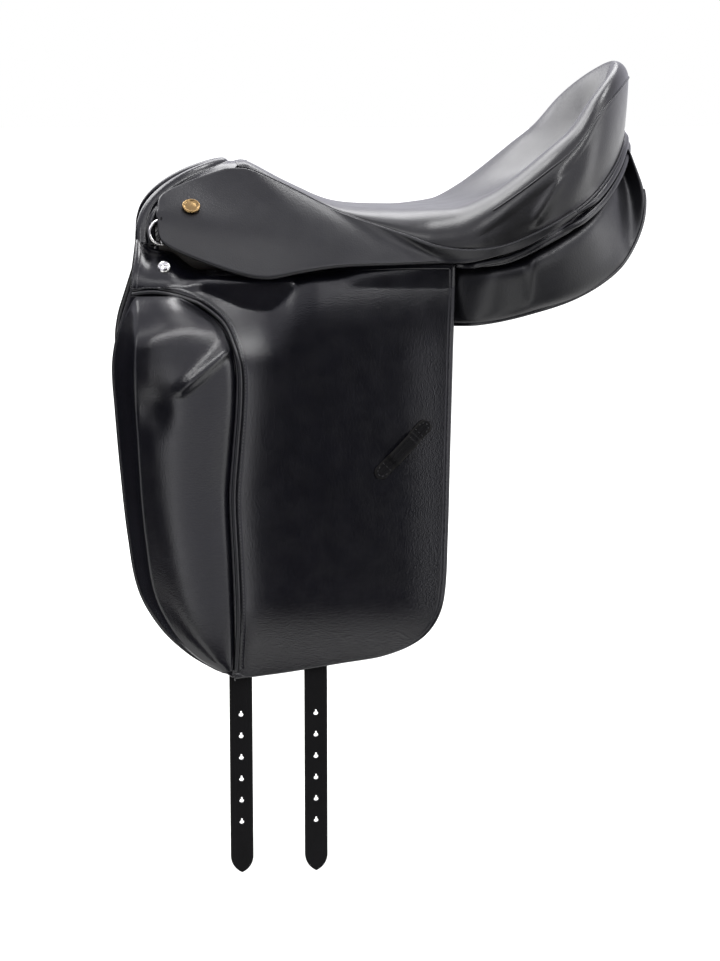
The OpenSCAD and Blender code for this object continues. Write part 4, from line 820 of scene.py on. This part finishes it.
def flap_x0(w):
    """Front edge of the flap, w down from the bend line."""
    return FLAP_FRONT * curve(FRONT_EDGE, w)


def flap_x1(w):
    """Rear edge of the flap, w down from the bend line."""
    return FLAP_BACK + curve(REAR_EDGE, w)


def flap_z(w):
    """Height at w down from the bend line."""
    return BEND_Z - FLAP_DROP * w


def welt_x(w):
    """Line of the knee block's welt, w down from the bend line."""
    return FLAP_FRONT * curve(WELT, w)


def flap_hollow(x, z):
    """Depth of the hollow under the skirt: even above a curved line, and running out below it."""
    run = np.clip((BEND_Z - z - curve(SHADE_LINE, np.clip(x, -232, 40))) / SHADE_RUN, 0, 1)
    return (SHADE_DEPTH - SHADE_REAR * ease(-90, 36, x)) * ease(-226, -192, x) * (1 - run) ** 2


def flap_out(x, z):
    """Outer face with its relief: hollow under the skirt, swelling to the welt, falling behind and below."""
    w = np.clip((BEND_Z - z) / FLAP_DROP, 0, 1)
    gap = x - welt_x(np.clip(w, 0.03, 1))
    below = ease(0.05, 0.2, w)
    swell = SWELL_H * np.exp(-np.maximum(gap, 0) / SWELL_RUN) * ease(-10, 0, gap) * below
    rear = REAR_FALL * ease(-14, 36, x) * below
    low = LOW_FALL * ease(0.80, 1.03, w)
    return flap_plane(x, z) - flap_hollow(x, z) + swell - rear - low


def flap_face(w, f):
    """Point of the flap's outer face: w down from the bend line, f across from front to back edge."""
    x = flap_x0(w) + f * (flap_x1(w) - flap_x0(w))
    z = flap_z(w) + 0 * x
    return xyz(x, flap_out(x, z), z)


def flap_root_face(r, f):
    """Fixed upper part of the flap: r from its top edge (0) to the bend line (1), rounded over."""
    x = flap_x0(0.0) + f * (flap_x1(0.0) - flap_x0(0.0))
    q, b = curve(ROOT_TOP, x), flap_out(x, BEND_Z)
    z = q[..., 1] + r * (BEND_Z - q[..., 1])
    lean = np.clip((flap_out(x, BEND_Z - 1) - b) * (q[..., 1] - BEND_Z) / (b - q[..., 0]), 0.1, 0.6)
    full = ease(-218, -186, x)
    out = lean * r + (1 - lean) * ((1 - full) * np.sin(np.pi / 2 * r) + full * (1 - (1 - r) ** 3.5))
    return xyz(x + FLAP_ROUND_X * (1 - r) * (1 - f) ** 12, q[..., 0] + (b - q[..., 0]) * out, z)


def flap_body():
    """Whole flap as one sheet, from the tree over the bend line to the lower edge."""
    f = np.linspace(0, 1, 120)[None, :]
    low = 0.9 + 0.1 * np.linspace(0.02, 1, 40)
    w = np.concatenate([spread((0.006, 0.3, 50), (0.31, 0.9, 60)), low])
    grid = np.concatenate([flap_root_face(np.linspace(0, 1, 16)[:, None], f), flap_face(w[:, None], f)])
    return leather_sheet(grid, FLAP_T)


for name, flap in pair("flap_leather", flap_body(), leather, None, ("flap", "flap_root")).items():
    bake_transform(flap)


# Sweat flaps

SWEAT_TOP_Z, SWEAT_BEND_W, SWEAT_LOW_W = -62, 0.19, 0.94
SWEAT_FRONT, SWEAT_BACK = 16, 14


def panel_v(x):
    """Widest half width of the panel at x."""
    at = np.clip(x, -215, 60)
    return panel_ring(at[..., None], np.linspace(0, 2 * np.pi, 48)).max(axis=-2)[..., 1]


def sweat_flap_body():
    """Sweat flap: sewn to the panel's side, set out under the flap by the billets' room."""
    k = np.linspace(0, 1, 60)[None, :]
    set_out = FLAP_T + BILLET_ROOM

    def at(w):
        return flap_x0(w) + SWEAT_FRONT + k * (flap_x1(w) - flap_x0(w) - SWEAT_FRONT - SWEAT_BACK)

    r = np.linspace(0, 0.94, 12)[:, None]
    x, bend_z = at(SWEAT_BEND_W), flap_z(SWEAT_BEND_W)
    a = panel_v(x) + 0.1 + SWEAT_T
    b = flap_v(x, bend_z) - set_out
    head = xyz(x + 0 * r, a + (b - a) * r, SWEAT_TOP_Z + (bend_z - SWEAT_TOP_Z) * r)
    w = np.linspace(SWEAT_BEND_W, SWEAT_LOW_W, 60)[:, None]
    hang = xyz(at(w), flap_v(at(w), flap_z(w)) - set_out, flap_z(w) + 0 * k)
    return leather_sheet(np.concatenate([head, hang]), SWEAT_T)


pair("sweat_flap_leather", sweat_flap_body(), leather, stands_for=("sweat_flap",))


# Knee blocks

BLOCK_ACROSS = [(0, 0.05), (0.05, 0.37), (0.10, 0.69), (0.145, 0.92), (0.17, 0.985), (0.20, 1), (0.3, 0.97),
                (0.5, 0.82), (0.75, 0.53), (0.9, 0.28), (0.97, 0.12), (1, 0.05)]
BLOCK_DOWN = [(0.017, 0.08), (0.035, 0.38), (0.06, 0.64), (0.11, 0.91), (0.17, 0.99), (0.22, 1), (0.5, 0.9),
              (0.75, 0.78), (0.88, 0.6), (0.95, 0.35), (0.985, 0.1)]
BLOCK_TOP = [(0, (-257, -28.5)), (0.25, (-247, -27)), (0.5, (-238, -26.6)), (0.75, (-226, -28)),
             (1, (-212, -31.5))]
CORNER_ROUND, BLOCK_BASE_H = 1.7, 1.5
CREASE_A, CREASE_B, CREASE_H, CREASE_UP, CREASE_DOWN = (-215, -112.5), (-168, -76), 3.4, 7.5, 4.5
DENT_X, DENT_Z, DENT_DEPTH, DENT_LONG, DENT_HIGH = -241, -128, 3.6, 15, 20
BAND_FROM, BAND_TO, BAND_T, BAND_CROWN, BAND_STITCH_COLUMN = 2.2, 7.6, 1.2, 0.5, 6


def block_lift(w):
    """Gap between block and flap, larger over the hollow's edge."""
    return 0.35 + 0.9 * (1 - ease(0.1, 0.3, w)) + 1.1 * (1 - ease(0.06, 0.13, w))


def block_body():
    """Knee block: a steep front wall, a ridge, and a face that falls to the welt, with one soft fold."""
    top = 0.017 + 0.103 * np.linspace(0, 1, 36) ** 1.3
    low = 0.98 - 0.078 * np.linspace(1, 0, 30)[1:] ** 1.3
    w = np.concatenate([top, spread((0.123, 0.45, 130), (0.455, 0.90, 60)), low])[:, None]
    f = spread((0, 0.24, 34), (0.255, 1, 56))[None, :]
    a = flap_x0(w) + 1
    b = welt_x(w) - (BLOCK_PIPING_R + 0.9) * (1.9 - 0.9 * ease(0.05, 0.14, w))
    x = a + f * (b - a)
    z = flap_z(w) + 0 * x
    under = flap_out(x, z) + 0.3
    base = flap_plane(x, z) - flap_hollow(x, z) * ease(0.35, 1, f) + block_lift(w)
    across, down = curve(BLOCK_ACROSS, f), curve(BLOCK_DOWN, w)
    short = np.clip(1 - across, 0, 1) ** CORNER_ROUND
    short = short + (np.maximum(0, 1 - down) * (1 - f) ** 2) ** CORNER_ROUND
    corner = np.maximum(down, 0.08) * (1 - short ** (1 / CORNER_ROUND))
    height = BLOCK_BASE_H + BLOCK_H * np.maximum(corner, 0.03)
    far, g = line_distance(x, z, CREASE_A, CREASE_B)
    above = (x - CREASE_A[0]) * -0.63 + (z - CREASE_A[1]) * 0.78 > 0
    fold = CREASE_H * np.where(above, bell(far, CREASE_UP), bell(far, CREASE_DOWN))
    fold = fold * ease(-0.25, 0.25, g) * ease(1.15, 0.85, g)
    dent = DENT_DEPTH * np.exp(-((x - DENT_X) / DENT_LONG) ** 2 - ((z - DENT_Z) / DENT_HIGH) ** 2)
    return pad(xyz(x, base + height + fold - dent, z), xyz(x, np.minimum(under, base), z))


def block_welt_line():
    """Block's welt in x and z: over the top of the block from its front, then down to the lower edge."""
    over = curve(BLOCK_TOP, np.linspace(0, 1, 40))[:-1]
    w = spread((0.024, 0.2, 70), (0.205, 0.985, 110))
    line = np.concatenate([over, np.stack([welt_x(w), flap_z(w)], axis=1)])
    return resampled(smoothed(line, 9), 2.5)


def block_piping_path():
    """Piping on the welt line, lying on the flap."""
    x, z = block_welt_line().T
    w = (BEND_Z - z) / FLAP_DROP
    return xyz(x, flap_out(x, z) + BLOCK_PIPING_R - 0.2 + 0.9 * (1 - ease(0.1, 0.3, w)), z)


def block_border_grid():
    """Raised band of leather beside the welt, on the flap's side of it."""
    line = block_welt_line()
    along = unit(np.gradient(line, axis=0))
    out = np.stack([-along[:, 1], along[:, 0]], axis=1)
    o = np.linspace(BAND_FROM, BAND_TO, 12)
    flat = line[:, None] + out[:, None] * o[None, :, None]
    x, z = flat[..., 0], np.minimum(flat[..., 1], BEND_Z + 1.0)
    crown = BAND_CROWN * np.sin(np.pi * (o - BAND_FROM) / (BAND_TO - BAND_FROM))[None, :]
    return xyz(x, flap_out(x, z) + 1.0 + crown, z)


blocks = pair("knee_block_pad", block_body(), block_leather, "flap", ("knee_block",))
block_piping = tube(block_piping_path(), BLOCK_PIPING_R)
pair("block_piping_leather", block_piping, piping_leather, "flap", ("block_piping",))
band = block_border_grid()
row = stitches(band[:, BAND_STITCH_COLUMN], normals(band)[:, BAND_STITCH_COLUMN])
pair("block_border", leather_sheet(band, BAND_T), block_leather, "flap")
pair("block_border_stitches", row, thread, "flap")


# Keepers

KEEPER_X, KEEPER_Z, KEEPER_SLOPE = -12.0, -171.0, 1.03
KEEPER_HALF_L, KEEPER_HALF_W, KEEPER_T = 35, 6, 2.4
KEEPER_LOW, KEEPER_HUMP, KEEPER_SEAM = 2.5, 6.5, 2.9
HUMP_FLAT, HUMP_END, SLOPE_REACH = 11.5, 18, 8.0
LOOP_X, LOOP_LONG, LOOP_HALF_W, CROSS_X, CROSS_HALF_W = 27, 5.0, 4.4, 21.5, 4


def keeper_parts():
    """Keeper strap: a low bridge on the flap with rounded ends, stitched down at both."""
    e = SLOPE_REACH
    p = np.array([KEEPER_X, flap_out(KEEPER_X, KEEPER_Z), KEEPER_Z])
    tx = unit(np.array([2 * e, flap_out(KEEPER_X + e, KEEPER_Z) - flap_out(KEEPER_X - e, KEEPER_Z), 0]))
    tz = unit(np.array([0, flap_out(KEEPER_X, KEEPER_Z + e) - flap_out(KEEPER_X, KEEPER_Z - e), 2 * e]))
    n = unit(np.cross(tz, tx))
    u = unit(tx + KEEPER_SLOPE * tz)
    w = np.cross(n, u)
    tip = KEEPER_HALF_L - KEEPER_HALF_W * (1 - np.cos(np.linspace(0, np.pi / 2, 14)))
    a = np.concatenate([-tip, np.linspace(-28.5, 28.5, 70), tip[::-1]])
    past = np.clip((np.abs(a) - KEEPER_HALF_L + KEEPER_HALF_W) / KEEPER_HALF_W, 0, 1)
    half = KEEPER_HALF_W * np.sqrt(np.clip(1 - past ** 2, 0.0004, 1))
    rise = KEEPER_LOW + KEEPER_HUMP * (1 - ease(HUMP_FLAT, HUMP_END, np.abs(a)))
    v = np.linspace(-1, 1, 15)
    across = (half[:, None] * v[None, :])[..., None] * w
    grid = p + n * 0.3 + a[:, None, None] * u + across + rise[:, None, None] * n
    grid = grid - (0.5 * v ** 4)[None, :, None] * n
    turn = np.linspace(0.5 * np.pi, 1.5 * np.pi, 20)
    foot = p + n * KEEPER_SEAM
    rows = []
    for end in (-1, 1):
        loop = foot + end * (LOOP_X - LOOP_LONG * np.cos(turn))[:, None] * u
        loop = loop + (LOOP_HALF_W * np.sin(turn))[:, None] * w
        cross = foot + end * CROSS_X * u + np.linspace(-CROSS_HALF_W, CROSS_HALF_W, 6)[:, None] * w
        rows += [stitches(line, np.repeat(n[None], len(line), axis=0)) for line in (loop, cross)]
    return leather_sheet(grid, KEEPER_T), joined(*rows)


strap, thread_rows = keeper_parts()
pair("keeper_strap", strap, strap_leather, "flap", ("keeper",))
pair("keeper_stitches", thread_rows, thread, "flap")


# Skirts

BEND_A = np.array([-POMMEL_X - 74, SKIRT_V, SKIRT_BEND_Z])
BEND_B = np.array([22.0, BEND_HALF_W - 1, 3.0])
SKIRT_TOP = moved([(0, (-73, 77, 48)), (0.05, (-71, 67, 57)), (0.12, (-60, 58, 64)), (0.22, (-37, 46, 73)),
                   (0.36, (-6, POMMEL_HALF_W + 5, POMMEL_Z - 4.5))], (-POMMEL_X, 0, 0))
TAIL = [(0, tuple(BEND_B)), (0.3, (47, 0.90 * SEAT_HALF_W + 5, SEAM_LOW - 9)),
        (0.55, (72, 0.97 * SEAT_HALF_W + 5.5, SEAM_LOW - 4)), (0.75, (97, SEAT_HALF_W + 5.5, SEAM_LOW + 4)),
        (0.9, (122, SEAT_HALF_W + 5.5, SEAM_LOW + 18)),
        (1, (0.68 * CANTLE_X, 0.955 * SEAT_HALF_W + 5, SEAM_LOW + 33))]
LOW_END = (BEND_B[0], BEND_HALF_W + 1.2, 0)
SKIRT_LOW = [(0, (BEND_A[0] + 0.6, SKIRT_V + 2, SKIRT_BEND_Z - 2.5))]
SKIRT_LOW += moved([(0.04, (-72.5, 11, 24)), (0.08, (-68, 15, 17)), (0.16, (-50, 21, 8)),
                    (0.28, (-18, 29, -4)), (0.40, (19, 34, SKIRT_LOW_Z))], (-POMMEL_X, SKIRT_V, 0))
SKIRT_LOW += [(0.54, (-105, SKIRT_V + 36, -8)), (0.68, (-69, SKIRT_V + 36.5, -2.5)),
              (0.84, (-24, BEND_HALF_W + 3, -1)), (1, LOW_END)]
BEND_END, SHOULDER_END = 0.70, 0.36
SEAM_FROM, SEAM_LONG, BESIDE_SEAM = 0.035, 0.80, (0, SKIRT_T + LAYER_GAP + 1.9, -0.6)
BOW_UPPER, BOW_LOWER, RELAX_TURNS = np.array([0, 1, 0.7]) * 3, np.array([0, 1, 0.6]) * 2.5, 90


def skirt_top(t):
    """Upper edge of the skirt: round the pommel's shoulder, then beside the seat's seam."""
    beside = curve(SEAM, SEAM_FROM + (t - SHOULDER_END) / (1 - SHOULDER_END) * SEAM_LONG) + BESIDE_SEAM
    return np.where((t < SHOULDER_END)[..., None], curve(SKIRT_TOP, t), beside)


def skirt_bend(t):
    """Bend line, and behind its end the lower edge of the skirt's tail."""
    line = BEND_A + (BEND_B - BEND_A) * (np.clip(t / BEND_END, 0, 1) ** 0.95)[..., None]
    return np.where((t <= BEND_END)[..., None], line, curve(TAIL, (t - BEND_END) / (1 - BEND_END)))


def skirt_low(t):
    """Lower edge of the skirt; behind the bend line's end it runs out into the tail's edge."""
    step = np.array(LOW_END) - BEND_B
    tail = skirt_bend(t) + step * (1 - ease(BEND_END, BEND_END + 0.15, t))[..., None]
    return np.where((t <= BEND_END)[..., None], curve(SKIRT_LOW, t / BEND_END), tail)


def relaxed(grid, turns):
    """Grid with its points moved to the mean of their neighbours, across and then along; the ends stay."""
    grid = grid.copy()
    for _ in range(turns):
        grid[:, 1:-1] = (grid[:, :-2] + grid[:, 2:]) / 2
    for _ in range(turns // 3):
        grid[1:-1] = (grid[:-2] + 2 * grid[1:-1] + grid[2:]) / 4
    return grid


def skirt_body():
    """Skirt: cross lines from the upper edge over the bend line to the lower edge, slightly bowed out."""
    front = 0.12 * np.linspace(0, 1, 40) ** 1.4
    t = np.concatenate([front, spread((0.123, 0.7, 120), (0.703, 1, 60))])
    a, b, c = skirt_top(t), skirt_bend(t), skirt_low(t)
    first = np.linalg.norm(b - a, axis=1)
    second = np.linalg.norm(c - b, axis=1)
    k = (first / (first + second + 1e-9))[:, None, None]
    r = np.linspace(0, 1, 64)[None, :, None]
    up = np.clip(r / k, 0, 1)
    low = np.clip((r - k) / np.maximum(1 - k, 1e-6), 0, 1)
    flat = (1 - ease(0.5, 0.7, t))[:, None, None]
    bow = BOW_UPPER * up * (1 - up) * flat + BOW_LOWER * low * (1 - low)
    upper = a[:, None] + up * (b - a)[:, None]
    grid = np.where(r <= k, upper, b[:, None] + low * (c - b)[:, None]) + bow
    return leather_sheet(relaxed(grid, RELAX_TURNS), SKIRT_T)


skirts = pair("skirt_leather", skirt_body(), skirt_leather, None, ("skirt", "skirt_root"))
for name, skirt in skirts.items():
    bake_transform(skirt)


# Billets

HEAD_Z = -88
STRAP_COLUMNS, CELL_RINGS = 13, 6
SLIT_L, SLIT_HALF_W = 4.0, 0.8


def strap_v(x, z, k):
    """Half width of a billet's middle: k sets it between flap (0) and sweat flap (1)."""
    return float(flap_v(-x, z)) - FLAP_T - BILLET_T / 2 - k * (BILLET_ROOM - BILLET_T)


def strap_head(x, k):
    """Upper end of a billet: (v, z) points from its rivet out to the strap's line."""
    v = strap_v(x, HEAD_Z, k)
    return [(PIVOT_V, PIVOT_Z + BILLET_W / 2), (PIVOT_V, PIVOT_Z - 11), (PIVOT_V + 2, PIVOT_Z - 16),
            (v - 3, HEAD_Z + 6), (v, HEAD_Z)]


def hanging_line(x):
    """Billet hanging free: (v, z) points from its pivot end to its tip."""
    z = BEND_Z - FLAP_DROP - 10
    v = strap_v(x, z + 14, 0.5)
    low = [(v - 0.4, z + 10), (v, z + 4), (v + 0.2, z - 6), (v + 0.2, -BILLET_END)]
    return strap_head(x, 0.5) + low


def path_length(points):
    """Length of a line of points."""
    return float(np.linalg.norm(np.diff(np.array(points), axis=0), axis=1).sum())


def tucked_line(x):
    """Billet put away: down beside the sweat flap, folded, and up again beside the flap."""
    v, r = strap_v(x, TUCK_Z, TUCK_K), FOLD_STEP / 2
    turn = np.radians(np.arange(195, 346, 30))
    fold = [(v + r * (1 + math.cos(a)), TUCK_Z + r * (math.sin(a) - 0.1)) for a in turn]
    down = strap_head(x, TUCK_K) + [(v, TUCK_Z)] + fold
    left = path_length(hanging_line(x)) - path_length(down)
    up = left / math.hypot(FLAP_LEAN, 1)
    return down + [(strap_v(x, z, TUCK_K) + FOLD_STEP, z) for z in (TUCK_Z, TUCK_Z + up)]


def hole_cell(half):
    """One square cell of the strap round a pear-shaped hole: rings of (along, across) points."""
    one = np.ones(STRAP_COLUMNS - 1)
    g = np.linspace(-1, 1, STRAP_COLUMNS)
    up, down = g[:-1], g[::-1][:-1]
    corners = ((-one, up), (up, one), (one, down), (down, -one))
    square = np.concatenate([np.stack(side, axis=1) for side in corners]) * (HOLE_PITCH / 2, half)
    angle = np.arctan2(square[:, 1], -square[:, 0])
    slit = np.minimum(SLIT_L / np.maximum(np.cos(angle), 1e-3),
                      SLIT_HALF_W / np.maximum(np.abs(np.sin(angle)), 1e-3))
    hole = np.where(np.abs(angle) < np.pi / 2, np.maximum(HOLE_R, slit), HOLE_R)
    inner = hole[:, None] * unit(square)
    return inner + (square - inner) * np.linspace(0, 1, CELL_RINGS)[:, None, None]


def strap_flat(length):
    """Flat billet: (along, across) points and faces, with a round head, a pointed tip and its holes."""
    half = BILLET_W / 2
    last_hole = length - FIRST_HOLE
    first, last = last_hole - (HOLES - 0.5) * HOLE_PITCH, last_hole + 0.5 * HOLE_PITCH
    v = np.linspace(-1, 1, STRAP_COLUMNS)
    r = (half ** 2 + BILLET_TIP ** 2) / BILLET_W
    round_rows = half * (1 - np.cos(np.linspace(0, np.pi / 2, 12)))
    head = np.concatenate([round_rows, np.linspace(half + 3, first, 110)])
    tip_rows = length - BILLET_TIP * (1 - np.sin(np.linspace(0, np.pi / 2, 14)))[1:]
    tail = np.concatenate([np.linspace(last, length - BILLET_TIP, 10), tip_rows])
    round_end = np.sqrt(np.clip(half ** 2 - (half - np.minimum(head, half)) ** 2, 0, None))
    into_tip = np.clip(tail - length + BILLET_TIP, 0, BILLET_TIP)
    point = half - r + np.sqrt(np.clip(r ** 2 - into_tip ** 2, 0, None))
    parts, faces, start = [], [], 0
    for run, width in ((head, round_end), (tail, np.clip(point, 0, half))):
        flat = np.stack(np.broadcast_arrays(run[:, None], width[:, None] * v[None, :]), axis=-1)
        parts.append(flat.reshape(-1, 2))
        faces.append(quads(len(run), STRAP_COLUMNS, start=start))
        start += len(run) * STRAP_COLUMNS
    cell = hole_cell(half)
    for i in range(HOLES):
        parts.append((cell + (last_hole - i * HOLE_PITCH, 0)).reshape(-1, 2))
        faces.append(quads(CELL_RINGS, cell.shape[1], wrap=True, start=start))
        start += CELL_RINGS * cell.shape[1]
    return np.concatenate(parts), np.concatenate(faces)


def billet_body(x, line):
    """Billet: the flat strap laid along its line of (v, z) points, as the strap's middle surface."""
    path = smoothed(resampled(np.array(line), 0.5), 11)
    run = lengths(path)
    flat, faces = strap_flat(run[-1])
    v, z = (np.interp(flat[:, 0], run, column) for column in path.T)
    return xyz(-x + flat[:, 1], v, z), faces, BILLET_W / 2 - np.abs(flat[:, 1])


for place, x in BILLET_X.items():
    for name, side in SIDES.items():
        body = billet_body(x, hanging_line(x) if name == "left" else tucked_line(x))
        node = f"billet_{place}_{name}"
        strap = piece(f"billet_strap_{place}_{name}", body, strap_leather, node, (node,), side)
        layer = strap.modifiers.new("thickness", "SOLIDIFY")
        layer.thickness = BILLET_T * MM
        layer.offset = 0.0
        soft_edges(strap, 0.7, 30)


# Metal

STUD_PROFILE = [(0.6, -1.0), (0.96, 0.0), (1, 0.8), (1, 1.8), (0.94, 2.6), (0.87, 2.8), (0.81, 2.4),
                (0.77, 1.7), (0.70, 1.5), (0.5, 1.75), (0.25, 1.95), (0.02, 2.0)]
STUD_T, STUD_NEAR, STUD_DOWN, STUD_LIFT = 0.115, 0.04, 0.55, 1.3


def stud_body():
    """Stud on the skirt: a plain low dome in a raised rim, square to the skirt."""
    t = np.array([STUD_T - STUD_NEAR, STUD_T, STUD_T + STUD_NEAR])
    a, b = skirt_top(t), skirt_bend(t)
    n = unit(np.cross(b[2] - b[0], b[1] - a[1]))
    n = n if n[1] > 0 else -n
    return lathe(np.multiply(STUD_PROFILE, (STUD_R, 1)), a[1] + STUD_DOWN * (b[1] - a[1]) + STUD_LIFT * n, n)


def dee_path():
    """D-shaped ring: a straight side through the chape and a half circle in front."""
    c = DEE_R - DEE_WIRE
    straight = xyz(0.0, 0.0, np.linspace(-c, c, 30))
    turn = np.linspace(0, np.pi, 50)[1:-1]
    flat = np.concatenate([straight, xyz(-c * np.sin(turn), 0.0, c * np.cos(turn))])
    y = flat[:, 1] * math.cos(DEE_TILT) - flat[:, 2] * math.sin(DEE_TILT)
    z = flat[:, 1] * math.sin(DEE_TILT) + flat[:, 2] * math.cos(DEE_TILT)
    return DEE_P + xyz(flat[:, 0], y, z)


def ring_body(path, radius, sides=16):
    """Closed ring: a circle carried round a closed path."""
    t = unit(np.roll(path, -1, axis=0) - np.roll(path, 1, axis=0))
    square = unit(np.array([0.0, math.cos(DEE_TILT), math.sin(DEE_TILT)]))
    w = unit(np.cross(t, square))
    grid = path[:, None] + radius * circle(sides, square, w[:, None])
    return rolled(np.concatenate([grid, grid[:1]]))


pair("stud_dome", stud_body(), gilt, stands_for=("skirt_stud",))
pair("dee_ring", ring_body(dee_path(), DEE_WIRE), nickel, "dee", ("dee",))


# CAD nodes that keep their shape

PLAIN_NODES = {"tree": beech, "head_plate": steel, "strainer_web": webbing, "girth_web": webbing,
               "channel_lining": lining}
EDGED_NODES = {"stirrup_bar": (steel, 0.4), "bar_rivets": (copper, 0.3), "bar_catch": (steel, 0.3),
               "catch_pin": (steel, 0.15), "flap_screw": (nickel, 0.25), "dee_chape": (strap_leather, 0.3),
               "point_strap": (strap_leather, 0.4), "billet_rivets": (copper, 0.2)}


def dress(node, finish, bevel=0.0):
    """Gives a CAD node its finish, and rounds its edges with live modifiers."""
    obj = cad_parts[node]
    obj.data.materials.clear()
    obj.data.materials.append(finish)
    if bevel:
        weld = obj.modifiers.new("weld", "WELD")
        weld.merge_threshold = 1e-6
        soft_edges(obj, bevel, 35)
        obj.data.polygons.foreach_set("use_smooth", np.ones(len(obj.data.polygons), bool))
        obj.modifiers.new("even_shading", "WEIGHTED_NORMAL")


for node, finish in PLAIN_NODES.items():
    dress(node, finish)
for name in SIDES:
    for node, (finish, bevel) in EDGED_NODES.items():
        dress(f"{node}_{name}", finish, bevel)


# Floor, light and camera

FLOOR_Z, FLOOR_HALF = -0.64, 30.0
CAMERA_PLACE, CAMERA_TARGET = (-0.2452, -2.3574, 0.1772), (-0.039, 0.0, -0.223)


def floor_with_painted_glow():
    """Pale matt floor with a hardly visible mottle, and a painted glow that rises with distance from the
    saddle, so the far floor reads white.
    """
    f = Finish("pale_floor_painted_glow")
    far = f.node("ShaderNodeVectorMath", {"Vector": f.place}, operation="LENGTH").outputs["Value"]
    return f.set(Base_Color=f.mix(f.noise(3.0), (0.79, 0.79, 0.79), (0.82, 0.82, 0.82)), Roughness=0.9,
                 # painted glow: the floor emits white light, faint near the saddle and stronger farther out
                 Emission_Color=(1, 1, 1, 1), Emission_Strength=f.span(far, 0.2, 2.6, 0.03, 0.60))


def cloth_finish(name):
    """Dark matt cloth with a faint mottle."""
    f = Finish(name)
    mottle = f.mix(f.noise(4.0), (0.004, 0.004, 0.008), (0.006, 0.006, 0.012))
    return f.set(Base_Color=mottle, Roughness=0.9)


def stage_sheet(name, grid, faces, finish):
    """Plain sheet of the stage, in metres."""
    mesh = bpy.data.meshes.new(name)
    mesh.from_pydata(grid.reshape(-1, 3).tolist(), [], faces.tolist())
    mesh.materials.append(finish)
    made = in_scene(name, mesh)
    return made


def dark_screen(name, radius, around, high, near):
    """Dark cloth seen only in reflections: on the floor from near to radius, then hanging up to high."""
    a = np.radians(np.linspace(around[0], around[1], 24))
    r = np.concatenate([np.linspace(near, radius, 8), np.full(8, radius)])[:, None]
    z = np.concatenate([np.full(8, FLOOR_Z + 0.01), np.linspace(FLOOR_Z + 0.015, high, 8)])[:, None]
    grid = xyz(r * np.sin(a)[None, :], -r * np.cos(a)[None, :], z)
    screen = stage_sheet(name, grid, quads(16, 24), cloth_finish(name + "_cloth"))
    screen.visible_camera = False
    screen.visible_diffuse = False
    screen.visible_shadow = False
    screen.visible_transmission = False


def studio_world(ambient):
    """White world for what is seen directly; a cooler white in gloss and a set ambient for matt light."""
    world = bpy.data.worlds.new("studio")
    world.use_nodes = True
    bpy.context.scene.world = world
    tree = world.node_tree
    tree.nodes.clear()
    path = tree.nodes.new("ShaderNodeLightPath")
    shade = tree.nodes.new("ShaderNodeBackground")
    shade.inputs["Color"].default_value = (1, 1, 1, 1)
    shade.inputs["Strength"].default_value = ambient
    for kind, colour in (("Is Glossy Ray", (0.90, 0.89, 1.0, 1)), ("Is Transmission Ray", (1, 1, 1, 1)),
                         ("Is Camera Ray", (1, 1, 1, 1))):
        seen, mix = tree.nodes.new("ShaderNodeBackground"), tree.nodes.new("ShaderNodeMixShader")
        seen.inputs["Color"].default_value = colour
        seen.inputs["Strength"].default_value = 1.0
        tree.links.new(path.outputs[kind], mix.inputs[0])
        tree.links.new(shade.outputs[0], mix.inputs[1])
        tree.links.new(seen.outputs[0], mix.inputs[2])
        shade = mix
    out = tree.nodes.new("ShaderNodeOutputWorld")
    tree.links.new(shade.outputs[0], out.inputs["Surface"])


def aim(obj, place, target):
    """Puts a lamp or camera at a place, looking at a target."""
    obj.location = place
    obj.rotation_euler = (Vector(target) - Vector(place)).to_track_quat("-Z", "Y").to_euler()


def softbox(name, place, target, size, power):
    """Rectangular soft light aimed at a point."""
    light = bpy.data.lights.new(name, "AREA")
    light.shape = "RECTANGLE"
    light.size, light.size_y = size
    light.energy = power
    aim(in_scene(name, light), place, target)


corner = np.array([-FLOOR_HALF, FLOOR_HALF])
floor_grid = xyz(corner[:, None], corner[None, :], FLOOR_Z)
stage_sheet("floor", floor_grid, quads(2, 2)[:, ::-1], floor_with_painted_glow())
dark_screen("front_screen", 3.0, (-32, 15), 1.6, 2.85)
dark_screen("left_screen", 3.0, (-155, -62), 1.1, 0.4)
dark_screen("right_cloth", 2.2, (15, 58), FLOOR_Z + 0.12, 0.35)
dark_screen("floor_cloth", 1.7, (-32, -9), FLOOR_Z + 0.02, 0.5)

studio_world(0.95)
softbox("softbox_top", (0.48, 0.38, 2.0), (0.15, 0, 0), (0.8, 0.36), 14)
softbox("softbox_top_left", (-1.1, 0.7, 1.9), (0.1, 0, 0), (0.8, 0.8), 17)
softbox("softbox_front", (1.06, -1.32, 1.36), (-0.2, -0.15, -0.09), (2.4, 0.24), 23)
softbox("softbox_front_top", (-0.2, -1.2, 1.7), (-0.2, -0.1, 0), (1.2, 0.5), 4)
softbox("softbox_side", (0.98, -2.6, 0.1), (-0.13, 0, -0.1), (0.6, 0.9), 2.2)
softbox("softbox_front_left", (-1.6, -1.5, 1.7), (-0.15, 0, -0.1), (0.6, 0.9), 8)
softbox("softbox_right", (2.4, -0.3, 0.3), (0.2, 0, 0), (1.1, 1.1), 10)
softbox("softbox_top_right", (0.95, -0.5, 1.85), (0.2, -0.08, 0.04), (0.8, 0.8), 4.5)
softbox("softbox_back", (-0.5, 2.0, 1.75), (0.1, 0, 0.05), (3.0, 1.0), 38)
softbox("softbox_back_left", (-1.3, 2.2, 0.8), (0.15, 0, 0.1), (1.3, 0.8), 10)

camera_data = bpy.data.cameras.new("camera")
camera_data.sensor_width = 36.0
camera_data.sensor_fit = "AUTO"
camera_data.lens = 92.1
camera = in_scene("camera", camera_data)
aim(camera, CAMERA_PLACE, CAMERA_TARGET)
bpy.context.scene.camera = camera
bpy.context.scene.view_settings.view_transform = "Standard"
